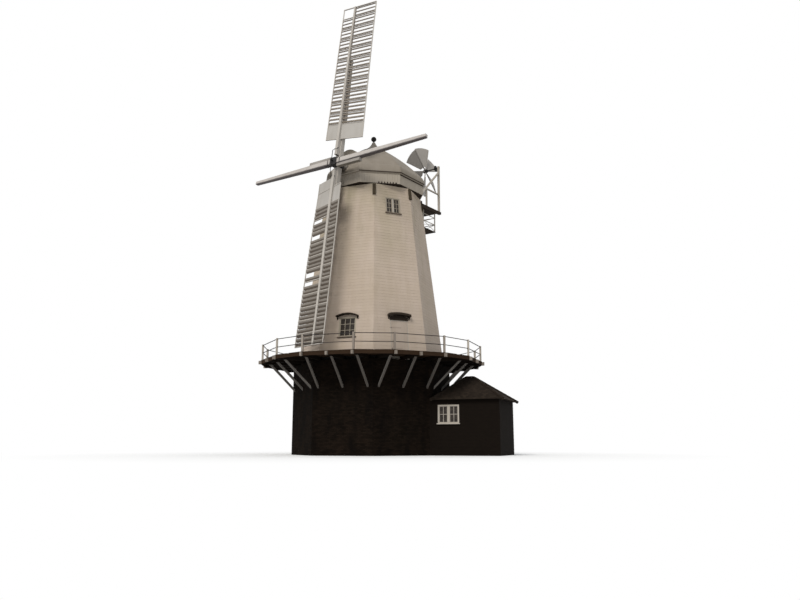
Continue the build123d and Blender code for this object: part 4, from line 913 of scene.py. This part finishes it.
def make_door_head_shades():
    """Dark plates over the frames of the stage doors, up to the bent hoods: painted shade in the
    gap under the hoods.
    """
    bm = bmesh.new()
    foot = DOORWAY["height"] + 0.005
    half = DOORWAY["width"] / 2 + 0.03
    corners = [(-half, foot), (half, foot)]
    corners += [(half * share, foot + rise) for share, rise in DOOR_HEAD_ARCH]
    # Painted shade: a dark plate fills the gap under each hood.
    for face in DOOR_FACES:
        add_plate(bm, smock_place(face, DECK_TOP), corners, (0.0, DOOR_HEAD))
    piece("door_heads", bm, HOOD_PAINT, "tower")


def make_corner_brackets():
    """Brackets on the tower's corners, under the petticoat."""
    bm = bmesh.new()
    for corner in range(SIDES):
        azimuth = face_azimuth(corner) + OCT
        out = outward(azimuth)
        foot, head = [
            out * (smock_apothem(z) / COS) + up(z) + out * BRACKET["out"]
            for z in (BRACKET["foot"], BRACKET["top"])
        ]
        add_bar(bm, foot, head, BRACKET["width"], BRACKET["depth"], out)
    piece("corner_brackets", bm, BRACKET_PAINT, "tower", bevel=0.01)


# Annexe
def make_annexe_boards():
    """Boards on the annexe's front, back and end."""
    bm = bmesh.new()
    half = ANNEXE_WIDTH / 2
    inner, outer = BASE_APOTHEM + 0.01, BASE_APOTHEM + ANNEXE_LENGTH
    window = window_opening(ANNEXE_WINDOW, ANNEXE_WINDOW["x"], ANNEXE_WINDOW["z"])
    door = opening(-ANNEXE_DOOR["x"], 0, ANNEXE_DOOR["width"], ANNEXE_DOOR["height"])
    walls = [
        (Place((0, -half, 0), (1, 0, 0), (0, -1, 0)), inner, outer, [window]),
        (Place((0, half, 0), (-1, 0, 0), (0, 1, 0)), -outer, -inner, [door]),
        (Place((outer, 0, 0), (0, 1, 0), (1, 0, 0)), -half, half, []),
    ]
    for place, left, right, openings in walls:
        lap_boards(
            bm, place, lambda y: left, lambda y: right, ANNEXE_BOARD_FOOT, ANNEXE_EAVES,
            openings, 1.0, ANNEXE_BOARD_SHOW,
        )
    piece("annexe_boards", bm, DARK_BOARD, "tower")


def make_ridge_tiles():
    """Half-round tiles along the ridge and down the hips."""
    bm = bmesh.new()
    inner_x = BASE_APOTHEM
    outer_x = BASE_APOTHEM + ANNEXE_LENGTH + ANNEXE_OVERHANG
    half = ANNEXE_WIDTH / 2 + ANNEXE_OVERHANG
    ridge_in = Vector((inner_x + ANNEXE_INNER_HIP, 0, ANNEXE_RIDGE))
    ridge_out = Vector((outer_x - ANNEXE_OUTER_HIP, 0, ANNEXE_RIDGE))
    runs = [(ridge_in, ridge_out)]
    for side in (-1, 1):
        for x, ridge_end in ((inner_x, ridge_in), (outer_x, ridge_out)):
            runs.append((Vector((x, side * half, ANNEXE_EAVES)), ridge_end))
    for start, end in runs:
        run = end - start
        count = max(1, round(run.length / HIP_TILE))
        for i in range(count):
            a, b = start + run * (i / count), start + run * ((i + 1) / count)
            add_round(bm, a, b, HIP_TILE_R, 10, HIP_TILE_R * HIP_TILE_TAPER)
    piece("ridge_tiles", bm, TILE, "tower")


# Cap
def make_petticoat_boards():
    """Upright boards round the petticoat, their feet a little uneven."""
    bm = bmesh.new()
    half = CAP_APOTHEM * TAN
    count = round(2 * half / CAP_BOARD_W)
    width = 2 * half / count
    for face in range(SIDES):
        place = petticoat_place(face)
        for i in range(count):
            left = -half + width * i + CAP_BOARD_JOINT / 2
            x = (left, left + width - CAP_BOARD_JOINT)
            foot = PETTICOAT_BOTTOM - 0.018 + RANDOM.uniform(0, 0.012)
            tone = RANDOM.random()
            add_box(bm, place, x, (foot, PETTICOAT_TOP - 0.06), (PROUD, CAP_BOARD), tone)
    piece("petticoat_boards", bm, SKIRT_PAINT, "cap")


def make_cornice():
    """Moulding round the head of the petticoat, mitred at its corners."""
    bm = bmesh.new()
    for face in range(SIDES):
        place = petticoat_place(face)
        ends = [
            [
                place.at(side * (CAP_APOTHEM + z) * TAN, PETTICOAT_TOP + y, z)
                for y, z in CORNICE_PROFILE
            ]
            for side in (-1, 1)
        ]
        add_hull(bm, *ends)
    piece("cap_cornice", bm, SKIRT_PAINT, "cap")


def make_smock_frieze():
    """Board round the top of the smock, in front of the curb."""
    bm = bmesh.new()
    half = (TOP_APOTHEM + FRIEZE_BOARD) * TAN
    upright = (SMOCK_TOP - 0.003, SMOCK_TOP + FRIEZE_H)
    for face in range(SIDES):
        place = upright_place(face_azimuth(face), TOP_APOTHEM)
        add_box(bm, place, (-half, half), upright, (PROUD, FRIEZE_BOARD))
    piece("smock_frieze", bm, WEATHERBOARD, "tower")


def make_cap_shadow_gaps():
    """Painted shadows: dark strips over and under the cornice, and dark notches at the board ends
    on one face.
    """
    bm = bmesh.new()
    half = (CAP_APOTHEM + CORNICE_OUT) * TAN
    over = (PETTICOAT_TOP - 0.052, PETTICOAT_TOP + GAP_EDGE)
    under = (PETTICOAT_TOP - 0.175, PETTICOAT_TOP - 0.121)
    foot = PETTICOAT_BOTTOM - 0.012
    for face in range(SIDES):
        if face in GAPLESS_FACES:
            continue
        place = petticoat_place(face)
        add_box(bm, place, (-half, half), over, (GAP_OUT, CORNICE_OUT + GAP_EDGE))
        if face != NOTCHED_FACE:
            add_box(bm, place, (-half + 0.03, half - 0.03), under, (0.0, GAP_OUT + GAP_EDGE))
            continue
        # Notches of painted shadow at the feet of the boards.
        for i in range(NOTCH["count"]):
            x = NOTCH["start"] + NOTCH["step"] * i
            left, right = x - NOTCH["half_w"], x + NOTCH["half_w"]
            notch = [(left, foot), (right, foot), (x + 0.01, foot + NOTCH["height"])]
            add_plate(bm, place, notch, (0.0, 0.019))
    piece("cap_shadow_gaps", bm, CAP_TIMBER_AND_SHADE, "cap")


# Stocks, poll end and striking gear
def make_stock_irons():
    """Iron straps that hold the clamps to the bare stock beside the poll end."""
    bm = bmesh.new()
    for distance in STRAP_PLACES:
        share = (abs(distance) - POLL_W / 2) / (BARE_STOCK_HALF - POLL_W / 2)
        reach = STOCK_W / 2 - (STOCK_W - STOCK_TIP_W) / 2 * share
        place = Place(HUB.at(distance, 0, STOCK_BACK), HUB.y, HUB.x)
        half = reach + STRAP
        front = STOCK_W / 2 + STRAP
        back = front - 2 * half
        add_box(bm, place, (-half, half), (-front, -back), (-STRAP_W / 2, STRAP_W / 2))
    piece("stock_straps", bm, IRON, "sails")


def make_striking_gear():
    """Rod out of the shaft, its cross and the cranks on the sails."""
    bm = bmesh.new()
    nose = POLL_LENGTH / 2
    cross = nose + CROSS_OUT
    centre = HUB.at(0, 0, cross)
    add_round(bm, HUB.at(0, 0, nose), HUB.at(0, 0, nose + ROD_OUT), ROD_R)
    add_round(bm, HUB.at(0, 0, cross - 0.03), HUB.at(0, 0, cross + 0.03), 0.07)
    for side in (-1, 1):
        tip = HUB.at(0, side * CROSS_ARM, cross)
        inner, joint, outer = [
            HUB.at(x * side, CRANK_PLACE * side, CRANK_DEPTH)
            for x in (-CRANK_HALF, CRANK_JOINT, CRANK_HALF)
        ]
        add_bar(bm, centre, tip, 0.035, 0.025, HUB.z)
        add_bar(bm, tip, joint, 0.03, 0.025, HUB.x)
        add_bar(bm, inner, outer, 0.035, 0.03, HUB.z)
    piece("striking_gear", bm, IRON, "sails")


# Sails
def make_heel_infill():
    """The extra board at the lower sail's heel, on the wide side towards the hub."""
    leaning = HUB.x * math.cos(HEEL_WEATHER) + HUB.z * math.sin(HEEL_WEATHER)
    place = Place(HUB.at(-0.098, -HEEL_R, 0.079), leaning, HUB.y)
    half = HEEL_BATTEN / 2
    bm = bmesh.new()
    add_box(bm, place, (-HEEL_INFILL_W, 0.0), (-0.012, 0.012), (0.0, HEEL_INFILL))
    for x in (-HEEL_INFILL_W + half, -half):
        add_box(bm, place, (x - half, x + half), (-half, half), (0.0, HEEL_INFILL))
    piece("heel_infill", bm, HEEL_PAINT, "sails")


def flat_sides(mesh):
    """The corners of each flat side of a CAD mesh, one list for every side."""
    sides = {}
    group = list(range(len(mesh.vertices)))

    def root(i):
        while group[i] != i:
            i = group[i]
        return i

    for edge in mesh.edges:
        a, b = root(edge.vertices[0]), root(edge.vertices[1])
        group[max(a, b)] = min(a, b)
    for i, vertex in enumerate(mesh.vertices):
        sides.setdefault(root(i), []).append(Vector(vertex.co))
    return list(sides.values())


def make_shutter_edges():
    """Pale strips along the front half of each shutter: on the lower sail a painted highlight for
    the slats' lit front edges, on the upper sail in the slats' own colour.
    """
    materials = {"upper_shutters": SLAT_PAINT_AND_SHADE, "lower_shutters": SLAT_EDGE_HIGHLIGHT}
    for node, material in materials.items():
        bm = bmesh.new()
        for corners in flat_sides(NODES[node].data):
            if len(corners) != 4:
                continue
            first = corners[0]
            others = sorted(corners[1:], key=lambda corner: (corner - first).length)
            deep, long = others[0] - first, others[1] - first
            normal = deep.cross(long)
            if normal.length < LEAST_AREA or deep.length < LEAST_DEPTH:
                continue
            middle = sum(corners, Vector()) / 4
            normal.normalize()
            if normal.dot(HUB.z) < 0:
                normal = -normal
            place = Place(middle, long, normal)
            if place.y.dot(HUB.z) < 0:
                place = Place(middle, -long, normal)
            half_l, half_d = long.length / 2 - 0.004, deep.length / 2
            depth = (half_d * 0.15, half_d + EDGE_SKIN)
            thickness = (-SHUTTER_BOARD - EDGE_SKIN, EDGE_SKIN)
            add_box(bm, place, (-half_l, half_l), depth, thickness, RANDOM.random())
        piece(node + "_edges", bm, material, "sails")


# Fan
def make_fan_gear():
    """Toothed bevel wheel on the fan's axle, between the frame's posts."""
    bm = bmesh.new()
    outer = FAN_FRAME_HALF_W - 0.2
    inner = outer - WHEEL_W
    add_round(bm, FAN.at(0, 0, inner), FAN.at(0, 0, outer), WHEEL_R, 24, 0.16)
    for i in range(WHEEL_TEETH):
        turn = 2 * math.pi * i / WHEEL_TEETH
        direction = FAN.x * math.cos(turn) + FAN.y * math.sin(turn)
        place = Place(FAN.at(0, 0, inner) + direction * 0.19, direction.cross(FAN.z), FAN.z)
        add_box(bm, place, (-0.014, 0.014), (-0.03, 0.03), (0, WHEEL_W))
    piece("fan_bevel_wheel", bm, IRON, "fan")


def make_frame_struts():
    """Upright struts and level ties in the planes of the fan frame's posts."""
    bm = bmesh.new()
    foot, tie, top = up(16.55), up(17.81), up(17.86)
    strut_back, post_back = CAP_APOTHEM + 1.56, CAP_APOTHEM + 3.08
    for side in (-1, 1):
        line = CAP_RIGHT * side * FAN_FRAME_HALF_W
        strut, post = line - CAP_FRONT * strut_back, line - CAP_FRONT * post_back
        add_bar(bm, strut + foot, strut + top, 0.11, 0.1, CAP_RIGHT)
        add_bar(bm, strut + tie, post + tie, 0.1, 0.09, CAP_RIGHT)
    piece("fan_frame_struts", bm, WHITE_TIMBER, "cap", bevel=0.006)


def make_gallery_rails():
    """Rails and crossed braces between the gallery's hangers."""
    bm = bmesh.new()
    half, front, back = 0.97, CAP_APOTHEM + 1.335, FAN_BACK - 0.36
    places = [(-half, front), (half, front), (half, back), (-half, back)]
    corners = [CAP_RIGHT * x - CAP_FRONT * behind for x, behind in places]
    for start, end in zip(corners, corners[1:] + corners[:1]):
        run = (end - start).normalized()
        start, end = start + run * 0.03, end - run * 0.03
        bars = [(start, height, end, height, 0.04, 0.04) for height in GALLERY_RAILS]
        bars += [(start, 0.52, end, 0.96, 0.025, 0.02), (end, 0.04, start, 0.48, 0.025, 0.02)]
        for a, height_a, b, height_b, width, depth in bars:
            low = a + up(GALLERY_FLOOR + height_a)
            high = b + up(GALLERY_FLOOR + height_b)
            add_bar(bm, low, high, width, depth, run.cross(up(1)))
    piece("gallery_rails", bm, WHITE_TIMBER, "cap")


# Setting
def background_rays(nodes, links):
    """1 where a ray shows the background: to the camera, in a gloss or through glass."""
    rays = nodes.new("ShaderNodeLightPath")
    total = rays.outputs["Is Camera Ray"]
    for name in ("Is Glossy Ray", "Is Transmission Ray"):
        node = nodes.new("ShaderNodeMath")
        node.operation = "MAXIMUM"
        links.new(total, node.inputs[0])
        links.new(rays.outputs[name], node.inputs[1])
        total = node.outputs[0]
    return total


def make_floor():
    """Pale ground that fades into the background's white away from the mill."""
    mesh = bpy.data.meshes.new("floor")
    signs = ((-1, -1), (1, -1), (1, 1), (-1, 1))
    corners = [(FLOOR_REACH * x, FLOOR_REACH * y, 0) for x, y in signs]
    mesh.from_pydata(corners, [], [(0, 1, 2, 3)])
    floor = add_object("floor", mesh)
    shader = Shader("floor_pale", roughness=0.95, gloss=0.0)
    shader.finish(shader.mix(shader.noise(0.05), (0.8, 0.8, 0.8), (0.82, 0.82, 0.82)))
    distance = shader.vector_math("LENGTH", shader.point)
    far = shader.remap(distance, *FLOOR_FADE)
    share = shader.times(far, background_rays(shader.nodes, shader.links))
    backdrop = shader.add("Emission", {}).outputs[0]
    blend = shader.add("MixShader", {0: share, 1: shader.surface.outputs[0], 2: backdrop})
    shader.wire(blend.outputs[0], shader.nodes["Material Output"].inputs["Surface"])
    mesh.materials.append(shader.material)


def make_sky():
    """Soft bluish light, with plain white wherever the background itself is seen."""
    world = bpy.data.worlds.new("sky")
    SCENE.world = world
    world.use_nodes = True
    nodes, links = world.node_tree.nodes, world.node_tree.links
    nodes.clear()
    out = nodes.new("ShaderNodeOutputWorld")
    pick = nodes.new("ShaderNodeMixShader")
    links.new(background_rays(nodes, links), pick.inputs[0])
    for socket, (colour, strength) in zip(pick.inputs[1:], (SKY, WHITE)):
        light = nodes.new("ShaderNodeBackground")
        light.inputs["Color"].default_value = colour
        light.inputs["Strength"].default_value = strength
        links.new(light.outputs[0], socket)
    links.new(pick.outputs[0], out.inputs["Surface"])


def make_sun():
    """One broad sun, behind the camera's left shoulder."""
    lamp = bpy.data.lights.new("key", "SUN")
    lamp.energy = 2.6
    lamp.angle = math.radians(25)
    lamp.color = (1, 0.97, 0.92)
    key = add_object("key", lamp)
    aim = outward(SUN_AZIMUTH) * math.cos(SUN_HEIGHT) + up(math.sin(SUN_HEIGHT))
    key.rotation_mode = "QUATERNION"
    key.rotation_quaternion = aim.to_track_quat("Z", "Y")


def make_camera():
    """The camera that the photograph's perspective gives."""
    camera = bpy.data.cameras.new("camera")
    camera.lens = 32.66
    camera.sensor_width = 36
    camera.clip_end = 6000
    obj = add_object("camera", camera)
    SCENE.camera = obj
    obj.location = outward(CAMERA_AZIMUTH) * CAMERA_DISTANCE + up(CAMERA_HEIGHT)
    ahead, side = outward(CAMERA_AZIMUTH) * -1, rightward(CAMERA_AZIMUTH)
    level = ahead * math.cos(CAMERA_YAW) + side * math.sin(CAMERA_YAW)
    look = level * math.cos(CAMERA_PITCH) + up(math.sin(CAMERA_PITCH))
    obj.rotation_mode = "QUATERNION"
    obj.rotation_quaternion = look.to_track_quat("-Z", "Y")


dress_cad()
make_tower_boards()
make_windows()
make_deck()
make_joist_ends()
make_door_head_shades()
make_corner_brackets()
make_annexe_boards()
make_ridge_tiles()
make_petticoat_boards()
make_cornice()
make_smock_frieze()
make_cap_shadow_gaps()
make_stock_irons()
make_striking_gear()
make_heel_infill()
make_shutter_edges()
make_fan_gear()
make_frame_struts()
make_gallery_rails()
make_floor()
make_sky()
make_sun()
make_camera()
SCENE.view_settings.view_transform = "Standard"
